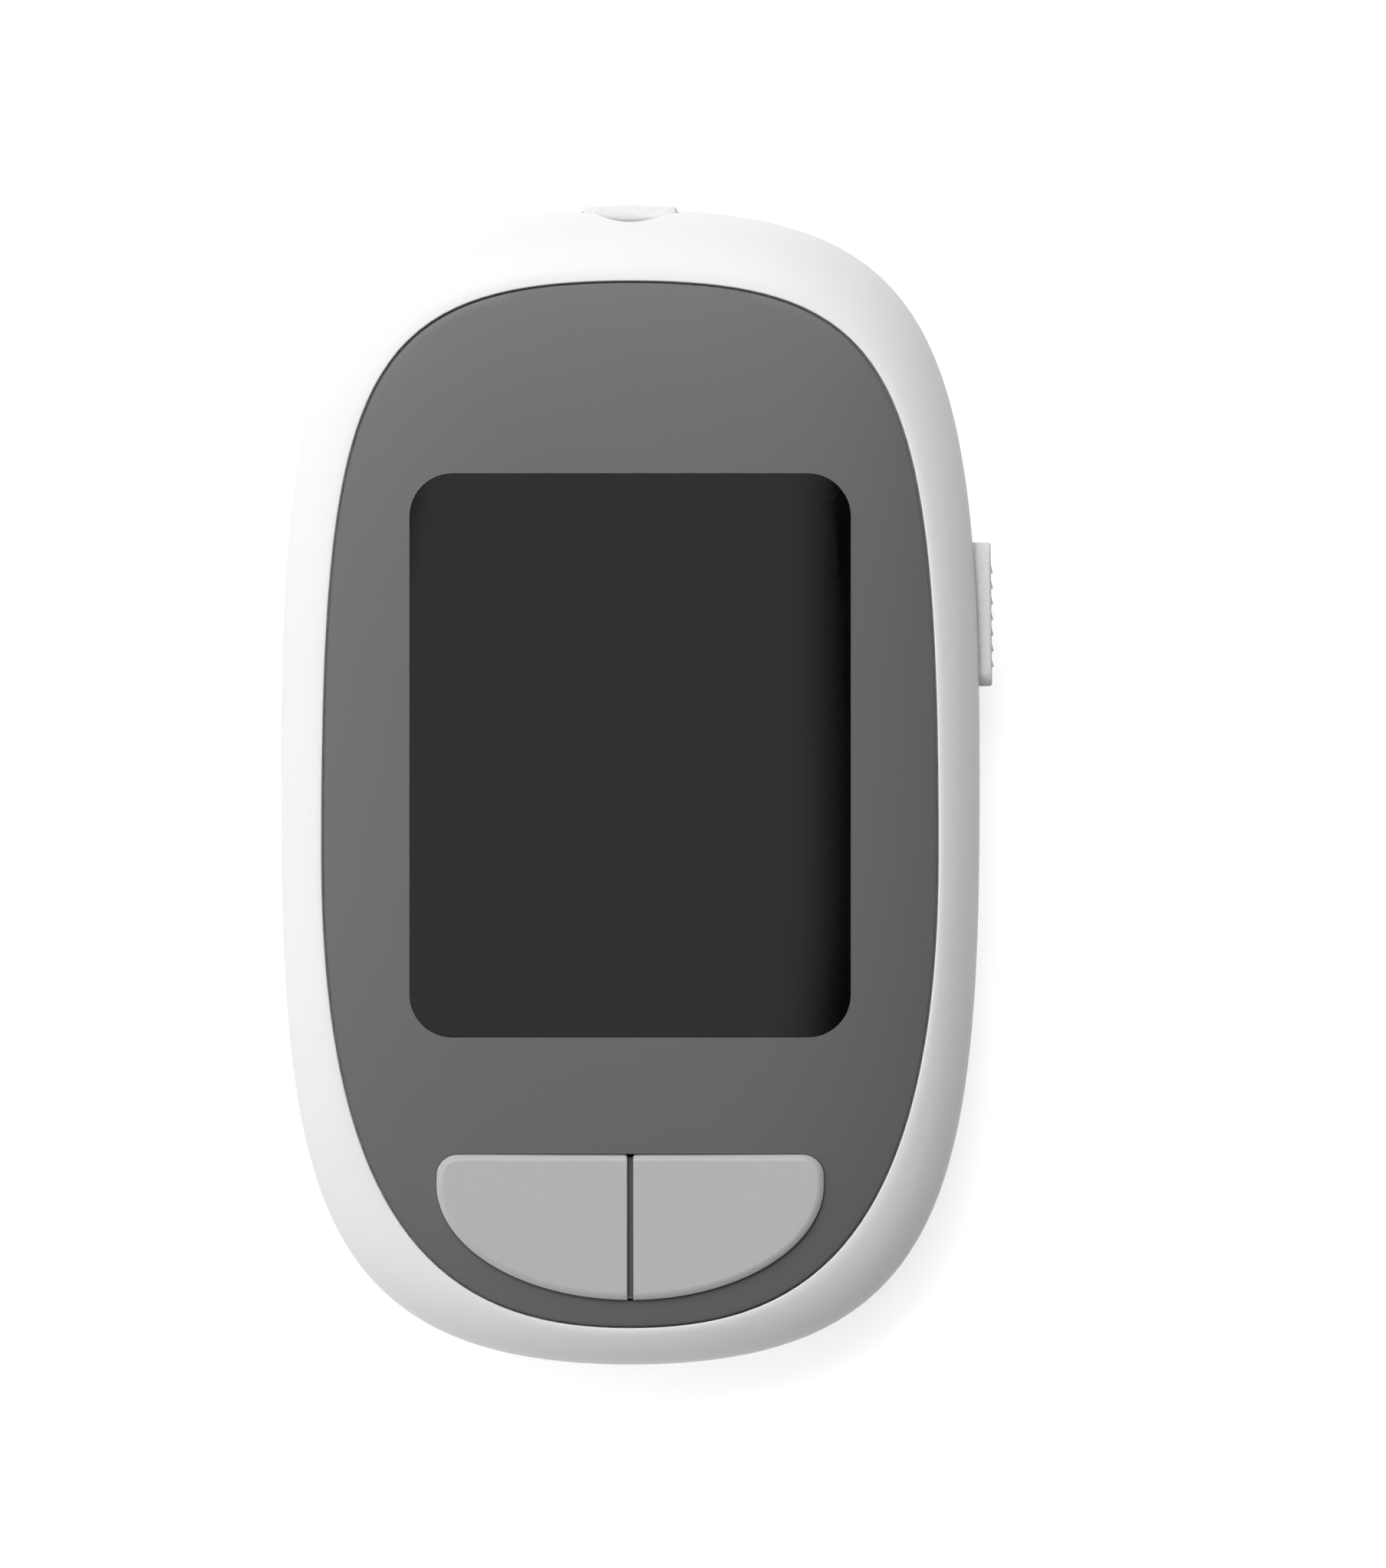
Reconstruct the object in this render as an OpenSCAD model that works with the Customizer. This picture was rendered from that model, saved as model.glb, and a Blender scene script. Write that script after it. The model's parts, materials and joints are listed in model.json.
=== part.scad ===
// Blood glucose meter with an egg-shaped white case, a domed face plate, a
// display window, two push buttons and a side slider that ejects the strip.
// The meter lies on its back: +Z comes out of the face, +Y runs towards the
// end with the strip port and +X towards the slider. All sizes are in mm.

/* [Body outline] */
// Width of the case
body_w = 52; // [50:0.5:54]
// Length of the case
body_len = 85.9; // [84:0.1:88]
// How far above mid-length the case is widest
body_wide_y = 0.8; // [0:0.1:2]
// Height from the back to the crown of the face plate
body_h = 15.5; // [15.3:0.1:16]
// Points in each quarter of an outline
quarter_steps = 16; // [12:1:20]

/* [Case] */
// Height of the joint between the two case halves
seam_z = 8; // [7.8:0.1:8.2]
// Wall thickness of both case halves
wall = 1.6; // [1.4:0.1:1.7]
// Height at which the front edge starts to round over
shoulder_z = 10.6; // [10.4:0.1:11]
// Height of the case's rim around the face plate
rim_z = 14.55; // [14.4:0.05:14.7]
// Height of the deck that carries the face plate
deck_z = 13.2; // [13.1:0.1:13.3]
// Thickness of the deck
deck_t = 1.2; // [1:0.1:1.3]
// Inset of the flat back from the outline
back_inset = 3.4; // [3:0.1:3.6]
// Thickness of the back
floor_t = 1.5; // [1.4:0.1:1.6]
// Height of the tongue on the joint
lip_h = 0.8; // [0.6:0.1:0.9]

/* [Face plate] */
// Half width of the opening that the plate sits in
plate_half_w = 22.92; // [22.5:0.05:23]
// Top end of the opening
plate_top_y = 37.6; // [37:0.1:38]
// Bottom end of the opening
plate_bottom_y = -40.2; // [-40.4:0.1:-39.8]
// Height along the meter where the plate is widest
plate_wide_y = -5; // [-6:0.1:-4]
// Gap between the plate and the case
plate_gap = 0.15; // [0.1:0.05:0.2]
// Rise of the dome above the plate's edge
plate_crown = 1; // [0.8:0.1:1.1]
// How late the face plate turns down towards its edge
crown_power = 4; // [2:0.5:5]

/* [Display] */
// Width of the display window
lens_w = 32.8; // [32:0.1:33.4]
// Length of the display window
lens_len = 41.9; // [41:0.1:42.4]
// Middle of the window along the meter
lens_y = 2.35; // [2:0.05:2.6]
// Corner radius of the window
lens_r = 3.2; // [2.6:0.1:3.6]
// Height of the window's underside
lens_z = 13.6; // [13.5:0.1:13.7]
// Width of the gasket's rim under the window
gasket_w = 1; // [0.8:0.1:1.2]
// Width of the liquid crystal panel
lcd_w = 36.4; // [36:0.1:36.8]
// Length of the liquid crystal panel
lcd_len = 45.4; // [45:0.1:45.8]
// Thickness of the liquid crystal panel
lcd_t = 1.4; // [1.2:0.1:1.4]
// Thickness of the light guide
guide_t = 0.8; // [0.6:0.1:0.8]

/* [Buttons] */
// Half width over both buttons
keys_half_w = 14.4; // [14:0.1:14.6]
// Straight upper edge of the buttons
keys_top_y = -27.3; // [-27.5:0.1:-27]
// Lowest point of the buttons
keys_bottom_y = -38.1; // [-38.3:0.1:-37.8]
// Corner radius at the outer upper corner
keys_corner_r = 1.6; // [1.2:0.1:1.8]
// Gap between the two buttons
keys_gap = 0.46; // [0.4:0.02:0.5]
// Height of the flat top of the buttons
keys_z = 15.4; // [15.2:0.1:15.5]
// Radius of the rounded edge on the outer sides of each button, which ends at half a right angle
keys_edge_r = 0.8; // [0.6:0.05:1]
// Distance of each plunger from the middle
plunger_x = 7; // [6.5:0.1:7.5]
// Plunger position along the meter
plunger_y = -32.6; // [-33:0.1:-32]
// Radius of the plungers
plunger_r = 1.4; // [1.2:0.1:1.5]

/* [Strip port] */
// Width of the mouth piece where it shows
mouth_w = 7; // [6.8:0.1:7.4]
// How far the mouth piece stands out of the end of the case
mouth_out = 0.3; // [0.2:0.02:0.5]
// Radius of the thumb scoop in the case over the mouth piece
scoop_r = 5.7; // [5.4:0.1:6]
// Depth of the thumb scoop in the end of the case
scoop_depth = 0.95; // [0.8:0.05:1]
// Width of the strip slot
slot_w = 5.8; // [5.6:0.1:6]
// Height of the strip slot's opening
slot_h = 0.8; // [0.7:0.1:0.9]
// Height of the middle of the strip slot
slot_z = 9.05; // [9:0.05:9.1]
// Length of the strip connector
socket_len = 10; // [9.5:0.1:10.2]

/* [Ejector] */
// Lower end of the slider at rest
slider_y = 7.5; // [7.4:0.1:7.6]
// Length of the slider
slider_len = 10.7; // [10.5:0.1:10.8]
// Height of the slider across the joint of the case
slider_h = 4.4; // [4:0.1:4.6]
// Outer face of the slider, from the middle of the meter
slider_x = 27.05; // [26.8:0.05:27.2]
// Travel of the slider towards the port
slider_travel = 5; // [4.5:0.1:5]
// Number of grip ribs
rib_count = 7; // [5:1:8]
// Distance between grip ribs
rib_pitch = 1.163; // [1.1:0.01:1.2]
// Height of each grip rib
rib_h = 0.13; // [0.1:0.01:0.2]
// Wire thickness of the return spring
wire_d = 0.3; // [0.25:0.05:0.35]
// Outer diameter of the return spring
coil_d = 1.8; // [1.6:0.1:1.8]
// Turns of the return spring
coil_turns = 9; // [7:1:10]

/* [Battery bay] */
// Diameter of a coin cell
cell_d = 20; // [20:1:20]
// Thickness of a coin cell
cell_h = 3.2; // [3.2:0.1:3.2]
// Distance of each cell from the middle
cell_x = 10.6; // [10.5:0.1:10.7]
// Middle of the cells along the meter
cell_y = -14; // [-14.4:0.1:-13.8]
// Thickness of the battery door
door_t = 1.2; // [1.1:0.1:1.2]
// Half width of the battery door on its inner side
door_half_w = 21.5; // [21.4:0.1:21.6]
// Inner end of the battery door
door_y = -2; // [-2.4:0.1:-1.9]

/* [Board and screws] */
// Thickness of the main board
board_t = 1; // [0.8:0.1:1]
// Height of the main board's underside
board_z = 7.2; // [7.1:0.1:7.2]
// Gap from the outline of the case to the board
board_inset = 4; // [3.8:0.1:4.4]
// Radius of the case screws' shanks
screw_r = 1; // [0.9:0.05:1]
// Radius of the case screws' heads
head_r = 1.75; // [1.6:0.05:1.8]
// Height of the face that the screw heads pull on
head_z = 2.8; // [2.7:0.1:2.8]
// Height of a screw head
head_h = 1.2; // [1:0.1:1.2]
// Length of a screw's shank
shank_len = 8.2; // [7.8:0.1:8.4]

/* [Hidden] */
round_fn = 48;
tiny = 0.01;
clear = 0.1;

white = "white";
plate_grey = "dimgray";
light_grey = "lightgray";
metal = "silver";
gold = "goldenrod";
board_green = "seagreen";

// An outline is [half width, widest y, top y, bottom y,
//   pulls of the upper side, upper end, lower side and lower end].
case_outline = [body_w / 2, body_wide_y, body_len / 2, -body_len / 2, 0.781, 0.877, 0.683, 0.934];
plate_outline = [plate_half_w, plate_wide_y, plate_top_y, plate_bottom_y, 0.834, 0.885, 0.871, 0.509];

// Heights of the stack between the board and the deck
board_top = board_z + board_t;
deck_under = deck_z - deck_t;
lcd_z = deck_under - clear - lcd_t;
guide_z = lcd_z - clear - guide_t;
arm_z = board_top + 0.3;
arm_t = 0.8;

// Quarter curve from the side [a, 0] to the end [0, b]
function bez(a, b, side_pull, end_pull, u) =
    pow(1 - u, 3) * [a, 0] + 3 * pow(1 - u, 2) * u * [a, side_pull * b]
    + 3 * (1 - u) * u * u * [end_pull * a, b] + pow(u, 3) * [0, b];

// Outline drawn in by inset, anticlockwise from its right-hand side
function egg(o, inset = 0, n = quarter_steps) =
    let (a = o[0] - inset, up = o[2] - o[1] - inset, down = o[1] - o[3] - inset)
    concat(
        [for (i = [0:n - 1]) let (p = bez(a, up, o[4], o[5], i / n)) [p.x, o[1] + p.y]],
        [for (i = [0:n - 1]) let (p = bez(a, up, o[4], o[5], 1 - i / n)) [-p.x, o[1] + p.y]],
        [for (i = [0:n - 1]) let (p = bez(a, down, o[6], o[7], i / n)) [-p.x, o[1] - p.y]],
        [for (i = [0:n - 1]) let (p = bez(a, down, o[6], o[7], 1 - i / n)) [p.x, o[1] - p.y]]);

// A level between the case's outline (mix 0) and the plate's (mix 1)
function level(mix, inset, z) =
    let (outer = egg(case_outline, inset), inner = egg(plate_outline, inset))
    [for (i = [0:len(outer) - 1]) let (p = (1 - mix) * outer[i] + mix * inner[i]) [p.x, p.y, z]];

// A level of the plate's dome: its outline shrunk towards its middle
function dome_level(inset, shrink, z) =
    [for (p = egg(plate_outline, inset)) [p.x * shrink, plate_wide_y + (p.y - plate_wide_y) * shrink, z]];

function lift(outline, z) = [for (p = outline) [p.x, p.y, z]];

// Skin over a stack of levels with equal numbers of points, either capped
// at both ends or closed into a ring
module skin(levels, ring = false) {
    n = len(levels[0]);
    count = len(levels);
    spans = ring ? count : count - 1;
    sides = [for (k = [0:spans - 1], i = [0:n - 1], half = [0, 1])
        let (j = (i + 1) % n, low = k * n, high = ((k + 1) % count) * n)
        half == 0 ? [low + i, high + i, high + j] : [low + i, high + j, low + j]];
    caps = ring ? [] : [[for (i = [0:n - 1]) i], [for (i = [n - 1:-1:0]) (count - 1) * n + i]];
    polyhedron(points = [for (l = levels, p = l) p], faces = concat(sides, caps));
}

function arc(centre, r, from, to, steps) =
    [for (i = [0:steps]) let (a = from + (to - from) * i / steps) centre + r * [cos(a), sin(a)]];

// Rectangle with round corners, centred on the middle of the window
corner_steps = 8;
function window(w, l, r) =
    let (x = w / 2 - r, y = l / 2 - r, c = [0, lens_y])
    concat(arc(c + [x, y], r, 0, 90, corner_steps), arc(c + [-x, y], r, 90, 180, corner_steps),
        arc(c + [-x, -y], r, 180, 270, corner_steps), arc(c + [x, -y], r, 270, 360, corner_steps));

module block(x, y, z) translate([x[0], y[0], z[0]]) cube([x[1] - x[0], y[1] - y[0], z[1] - z[0]]);

module both_sides() {
    children();
    mirror([1, 0, 0]) children();
}

// ---------- case ----------
round_over = 70;
edge_angles = [18, 36, 54, round_over];
front_edge = [for (a = edge_angles)
    let (mix = (1 - cos(a)) / (1 - cos(round_over)), rise = sin(a) / sin(round_over))
    level(mix, 0, shoulder_z + (rim_z - shoulder_z) * rise)];
front_levels = concat(
    [level(0, 0, seam_z), level(0, 0, shoulder_z)],
    front_edge,
    [level(1, 0, deck_z), level(1, 1, deck_z), level(1, 1, deck_under),
     level(0, wall + 0.3, deck_under), level(0, wall, seam_z + lip_h + clear),
     level(0, wall / 2 - clear, seam_z + lip_h + clear), level(0, wall / 2 - clear, seam_z)]);

back_edge = [level(0, back_inset, 0), level(0, back_inset / 2, 0.45), level(0, back_inset * 0.15, 1.7),
    level(0, 0, 3.8)];
rear_levels = concat(back_edge,
    [level(0, 0, seam_z), level(0, wall / 2, seam_z), level(0, wall / 2, seam_z + lip_h),
     level(0, wall, seam_z + lip_h), level(0, wall, 3.8), level(0, back_inset, floor_t)]);

screw_places = [[16.5, 30.5], [19.3, -27.5]];
module at_screws() both_sides() for (p = screw_places) translate([p.x, p.y, 0]) children();
post_r = 2.4;
shank_room = 0.15;

// Pocket in the side wall that the slider runs in, with a pad behind it
pocket_x = 24;
pad_x = [22.6, 24.2];
pad_y = [5.5, 24.6];
pad_z = [4.6, 11];
slider_z = [seam_z - slider_h / 2, seam_z + slider_h / 2];
module slider_pocket() block([pocket_x, pocket_x + 5],
    [slider_y - 0.2, slider_y + slider_len + slider_travel + 0.2],
    [slider_z[0] - 0.15, slider_z[1] + 0.15]);

// Opening for the mouth piece in the end wall
mouth_z = [6.4, 11.4];
mouth_back_y = 39;
module mouth_hole() block([-mouth_w / 2 - clear, mouth_w / 2 + clear],
    [body_len / 2 - 3.6, body_len / 2 + 2], [mouth_z[0] - clear, mouth_z[1] + clear]);

// Chamber behind the end wall for the mouth piece's flange
flange_w = 10.4;
flange_y = [mouth_back_y, body_len / 2 - wall - 0.35];
flange_z = [5.6, 11.9];
module flange_room() block([-flange_w / 2 - clear, flange_w / 2 + clear],
    [flange_y[0] - clear, flange_y[1] + clear], [flange_z[0] - clear, flange_z[1] + clear]);

stem_y = [9.6, 15];
stem_hole_z = [arm_z - 0.2, arm_z + arm_t + 0.2];
spring_stop_y = [24, 25];
lane_x = [20, 22.2];

// Both buttons as one outline, or the right-hand one alone, grown by grow
keys_wide_y = -29.5;
key_steps = 12;
function keys_outline(grow) =
    let (a = keys_half_w + grow, b = keys_wide_y - keys_bottom_y + grow, r = keys_corner_r + grow)
    concat([for (i = [0:2 * key_steps]) let (t = 180 + 90 * i / key_steps)
            [a * cos(t), keys_wide_y + b * sin(t)]],
        arc([a - r, keys_top_y + grow - r], r, 0, 90, corner_steps),
        arc([r - a, keys_top_y + grow - r], r, 90, 180, corner_steps));
function key_outline(grow) =
    let (a = keys_half_w + grow, b = keys_wide_y - keys_bottom_y + grow, r = keys_corner_r + grow,
        inner = keys_gap / 2, start = acos(inner / a))
    concat([for (i = [0:key_steps]) let (t = -start * (1 - i / key_steps))
            [a * cos(t), keys_wide_y + b * sin(t)]],
        arc([a - r, keys_top_y + grow - r], r, 0, 90, corner_steps), [[inner, keys_top_y + grow]]);

module front_case() color(white) difference() {
    union() {
        skin(front_levels, ring = true);
        translate([0, 0, deck_under]) linear_extrude(deck_t) polygon(egg(plate_outline, 0.9));
        at_screws() translate([0, 0, board_top])
            cylinder(r = post_r, h = deck_z - board_top - tiny, $fn = round_fn);
        block(pad_x, pad_y, [seam_z, pad_z[1]]);
        block([lane_x[0], lane_x[1] + 0.6], spring_stop_y, [guide_z, deck_under + tiny]);
    }
    translate([0, 0, deck_under - 1]) linear_extrude(4)
        polygon(window(lens_w - 2 * gasket_w, lens_len - 2 * gasket_w, lens_r - gasket_w));
    translate([0, 0, deck_under - 1]) linear_extrude(4) polygon(keys_outline(1));
    at_screws() translate([0, 0, board_top - 1]) cylinder(r = screw_r, h = 3.9, $fn = round_fn);
    slider_pocket();
    block([lane_x[1], pocket_x + 1], [stem_y[0] - 0.2, stem_y[1] + slider_travel + 0.2], stem_hole_z);
    mouth_hole();
    flange_room();
    translate([0, body_len / 2 - scoop_depth + scoop_r, mouth_z[1]]) cylinder(r = scoop_r, h = 5, $fn = 96);
}

// ---------- battery bay in the rear case ----------
door_z = 0.1;
door_top = door_z + door_t;
shelf_z = [door_top + clear, 2.6];
cell_z = 1.7;
bay_top = 5.6;
bay_wall = 1.1;
bay_r = cell_d / 2 + 0.3;
door_taper = 0.6;
module at_cells() both_sides() translate([cell_x, cell_y, 0]) children();

// Dovetail section of the door, grown by grow, run along the meter
module door_prism(grow, end_y) {
    inner = door_half_w + grow;
    outer = inner - door_taper;
    low = door_z - 5 * grow;
    high = door_top + grow;
    translate([0, end_y, 0]) rotate([90, 0, 0]) linear_extrude(body_len)
        polygon([[-outer, low], [outer, low], [inner, high], [-inner, high]]);
}

clip_w = 4;
clip_t = 0.2;
clip_room_x = [-clip_w / 2 - 0.2, clip_w / 2 + 0.2];
clip_room_y = [-cell_d / 2 - 0.9, -cell_d / 2 + 0.4];
leaf_y = [-1, 9];
label_x = 17;
label_y = [5, 26];
label_recess = 0.25;

module rear_case() color(white) difference() {
    union() {
        skin(rear_levels);
        intersection() {
            translate([0, 0, shelf_z[0] - tiny]) linear_extrude(shelf_z[1] - shelf_z[0])
                polygon(egg(case_outline, 1.5));
            block([-body_w, body_w], [-body_len, door_y + 1.2], [0, 5]);
        }
        block([-cell_x - bay_r - bay_wall, cell_x + bay_r + bay_wall],
            [cell_y - bay_r - 1.6, cell_y + bay_r + bay_wall], [shelf_z[0], bay_top + 0.9]);
        at_screws() translate([0, 0, floor_t / 2])
            cylinder(r = post_r, h = board_z - floor_t / 2, $fn = round_fn);
        block(pad_x, pad_y, [pad_z[0], seam_z]);
    }
    door_prism(clear, door_y + clear);
    at_cells() translate([0, 0, shelf_z[0] - 1]) cylinder(r = bay_r, h = bay_top - shelf_z[0] + 1, $fn = 96);
    at_cells() block(clip_room_x, clip_room_y, [cell_z, bay_top + 2]);
    at_cells() block(clip_room_x, [leaf_y[1] - 0.4, leaf_y[1] + 0.2], [bay_top - 1, bay_top + 2]);
    at_screws() translate([0, 0, -1]) cylinder(r = screw_r + shank_room, h = board_z + 2, $fn = round_fn);
    at_screws() translate([0, 0, -1]) cylinder(r = head_r + 0.2, h = head_z + 1, $fn = round_fn);
    slider_pocket();
    block([pad_x[0] - 0.2, pad_x[1] + 2], pad_y + [-0.2, 0.2], [seam_z, seam_z + 2]);
    mouth_hole();
    flange_room();
    block([-label_x - clear, label_x + clear], label_y + [-clear, clear], [-1, label_recess]);
}

module battery_door() color(white) {
    grip_y = -34;
    grip_pitch = 1.4;
    grip_half_w = 6;
    grip_w = 0.5;
    difference() {
        intersection() {
            skin(concat(back_edge, [level(0, 0, 5)]));
            door_prism(0, door_y);
        }
        for (i = [-2:2]) let (groove = grip_y + i * grip_pitch)
            block([-grip_half_w, grip_half_w], [groove - grip_w / 2, groove + grip_w / 2],
                [-1, door_z + grip_w]);
    }
}

module rear_label() color("gainsboro")
    block([-label_x, label_x], label_y, [0.08, label_recess]);

module cell() {
    rim = 0.5;
    can_h = 2.6;
    cylinder(r = cell_d / 2, h = can_h, $fn = 96);
    translate([0, 0, can_h]) cylinder(r = cell_d / 2 - 2 * rim, h = cell_h - can_h, $fn = 96);
}
module left_cell() color(metal) translate([-cell_x, cell_y, cell_z]) cell();
module right_cell() color(metal) translate([cell_x, cell_y, cell_z]) cell();

// A springy clip against the rim of each cell, with a leg up to the board
module positive_contacts() color(gold) at_cells() {
    rim_y = -cell_d / 2;
    block([-clip_w / 2, clip_w / 2], [rim_y - clip_t, rim_y], [cell_z + 0.4, board_z]);
    block([-clip_w / 2, clip_w / 2], [rim_y - 0.8, rim_y - clip_t], [board_z - clip_t, board_z]);
}

// A leaf that presses on the face of each cell, with a leg up to the board
module negative_contacts() color(gold) at_cells() {
    cell_top = cell_z + cell_h;
    block([-clip_w / 2, clip_w / 2], leaf_y, [bay_top - clip_t, bay_top]);
    block([-clip_w / 2, clip_w / 2], [leaf_y[1] - clip_t, leaf_y[1]], [bay_top - tiny, board_z]);
    block([-1, 1], [leaf_y[0], leaf_y[0] + 3], [cell_top, bay_top - clip_t]);
}

// ---------- face ----------
edge_round = 0.2;
plate_edge_z = body_h - plate_crown;
dome_steps = 8;
function dome(sink, gap) = concat(
    [dome_level(gap, 1, deck_z), dome_level(gap, 1, plate_edge_z - edge_round - sink)],
    [for (k = [0:dome_steps - 1]) let (s = 1 - k / dome_steps)
        dome_level(gap + edge_round, s, plate_edge_z - sink + plate_crown * (1 - pow(s, crown_power)))],
    [dome_level(gap + edge_round, 0.04, body_h - sink)]);

key_room = 0.12;
module face_plate() color(plate_grey) difference() {
    skin(dome(0, plate_gap));
    translate([0, 0, deck_z - 1]) linear_extrude(5) polygon(window(lens_w, lens_len, lens_r));
    translate([0, 0, deck_z - 1]) linear_extrude(5) polygon(keys_outline(key_room));
}

module display_lens() color("black") intersection() {
    skin(dome(0.04, plate_gap));
    translate([0, 0, lens_z]) linear_extrude(3)
        polygon(window(lens_w - 2 * clear, lens_len - 2 * clear, lens_r - clear));
}

module lens_gasket() color("dimgray") translate([0, 0, deck_z]) linear_extrude(lens_z - deck_z) difference() {
    polygon(window(lens_w - 0.3, lens_len - 0.3, lens_r - 0.15));
    polygon(window(lens_w - 2 * gasket_w, lens_len - 2 * gasket_w, lens_r - gasket_w));
}

lcd_y = 2;
module lcd_panel() color("darkseagreen")
    block([-lcd_w / 2, lcd_w / 2], [lcd_y - lcd_len / 2, lcd_y + lcd_len / 2], [lcd_z, lcd_z + lcd_t]);

guide_x = 16.8;
guide_y = [-18.2, 24];
module light_guide() color("white") block([-guide_x, guide_x], guide_y, [guide_z, guide_z + guide_t]);

holder_x = 19.4;
holder_y = [-22, 26];
holder_z = [arm_z + arm_t + 0.2, deck_under];
zebra_x = 16;
zebra_y = [-20.6, -19];
module lcd_holder() color("whitesmoke") {
    room = 0.1;
    foot = 0.8;
    difference() {
        block([-holder_x, holder_x], holder_y, holder_z);
        block([-lcd_w / 2 - room, lcd_w / 2 + room],
            [lcd_y - lcd_len / 2 - room, lcd_y + lcd_len / 2 + room], [lcd_z - room / 2, holder_z[1] + 1]);
        block([-guide_x - room, guide_x + room], guide_y + [-room, room], [holder_z[0] - 1, holder_z[1]]);
        block([-zebra_x - room, zebra_x + room], zebra_y + [-room, room], [holder_z[0] - 1, holder_z[1]]);
    }
    foot_z = [board_top, holder_z[0] + tiny];
    for (x = [-holder_x, holder_x - foot]) block([x, x + foot], [holder_y[0], -19], foot_z);
    block([-holder_x, foot - holder_x], [22, holder_y[1]], foot_z);
    block([holder_x - foot, holder_x], [12, 16], foot_z);
}

module zebra_connector() color("hotpink") block([-zebra_x, zebra_x], zebra_y, [board_top, lcd_z]);

led_x = [-9, 0, 9];
module backlight_leds() color("lemonchiffon")
    for (x = led_x)
        block([x - 0.8, x + 0.8], [guide_y[0] - 0.75, guide_y[0] - 0.15], [board_top, board_top + 1.2]);

// ---------- buttons ----------
key_flange = 0.8;
key_flange_z = [12.3, deck_z - 0.05];
travel = 0.5;
module key() {
    skin(concat([lift(key_outline(0), key_flange_z[1] - tiny)],
        [for (t = [45:-15:0]) let (inset = keys_edge_r * (sin(45) - sin(t)))
            lift(key_outline(-inset), keys_z - keys_edge_r * (1 - cos(t)))]));
    intersection() {
        translate([0, 0, key_flange_z[0]]) linear_extrude(key_flange_z[1] - key_flange_z[0])
            polygon(keys_outline(key_flange));
        block([keys_gap / 2, body_w], [-body_len, 0], [0, keys_z]);
    }
    translate([plunger_x, plunger_y, dome_top + 0.05])
        cylinder(r = plunger_r, h = key_flange_z[0] - dome_top, $fn = round_fn);
}
module right_button() color(light_grey) key();
module left_button() color(light_grey) mirror([1, 0, 0]) key();

carrier_z = [10.6, key_flange_z[0] - travel - 0.1];
module button_carrier() color("gray") {
    rib_half_w = 0.19;
    rib_top = 14.7;
    bridge_top = 15.2;
    bridge_y = [keys_bottom_y + 0.1, keys_bottom_y + 0.25];
    leg = 1.2;
    difference() {
        translate([0, 0, carrier_z[0]]) linear_extrude(carrier_z[1] - carrier_z[0])
            polygon(keys_outline(0.4));
        for (side = [-1, 1]) translate([side * plunger_x, plunger_y, carrier_z[0] - 1])
            cylinder(r = plunger_r + 0.2, h = 4, $fn = round_fn);
    }
    block([-rib_half_w, rib_half_w], [keys_bottom_y + 0.1, keys_top_y - 0.2], [carrier_z[1] - tiny, rib_top]);
    block([-rib_half_w, rib_half_w], bridge_y, [rib_top - tiny, bridge_top]);
    for (x = [-12, 12 - leg], y = [-28.6, -33])
        block([x, x + leg], [y - leg, y], [board_top, carrier_z[0] + tiny]);
}

dome_top = board_top + 0.5;
module snap_dome() {
    cylinder(r = 2.5, h = 0.2, $fn = round_fn);
    translate([0, 0, 0.2]) cylinder(r1 = 2.3, r2 = 1.2, h = 0.3, $fn = round_fn);
}
module left_dome() color(metal) translate([-plunger_x, plunger_y, board_top]) snap_dome();
module right_dome() color(metal) translate([plunger_x, plunger_y, board_top]) snap_dome();

// ---------- strip port ----------
module strip_port_insert() color(light_grey) difference() {
    union() {
        block([-mouth_w / 2, mouth_w / 2], [mouth_back_y, body_len / 2 + mouth_out], mouth_z);
        block([-flange_w / 2, flange_w / 2], flange_y, flange_z);
    }
    block([-slot_w / 2, slot_w / 2], [mouth_back_y - 1, body_len / 2 + 2],
        [slot_z - slot_h / 2, slot_z + slot_h / 2]);
}

socket_w = 9;
socket_y = [mouth_back_y - 1 - socket_len, mouth_back_y - 1];
socket_top = 10.6;
slot_in_socket = [board_top + 0.2, 9.6];
finger_xs = [-2, -1, 0, 1, 2];
finger_w = 0.4;
module strip_connector() color("ivory") difference() {
    block([-socket_w / 2, socket_w / 2], socket_y, [board_top, socket_top]);
    block([-3, 3], socket_y + [-1, 1], slot_in_socket);
    for (x = finger_xs) block([x - finger_w / 2 - clear, x + finger_w / 2 + clear],
        [socket_y[1] - 3.6, socket_y[1] + 1], [slot_in_socket[1] - tiny, slot_in_socket[1] + 0.5]);
}

// Bent spring fingers that press on the strip's tracks
module strip_contacts() color(gold) for (x = finger_xs) {
    high = slot_in_socket[1] + 0.45;
    low = slot_z + 0.25;
    front = socket_y[1];
    translate([x - finger_w / 2, 0, 0]) rotate([90, 0, 90]) linear_extrude(finger_w)
        polygon([[front - 3.5, high], [front - 3.5, high - 0.15], [front - 2.4, high - 0.15],
            [front - 1.5, low], [front - 1.2, low], [front - 0.6, high - 0.3], [front - 0.45, high - 0.2],
            [front - 1.25, low + 0.2], [front - 1.4, low + 0.2], [front - 2.25, high]]);
}

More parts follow.
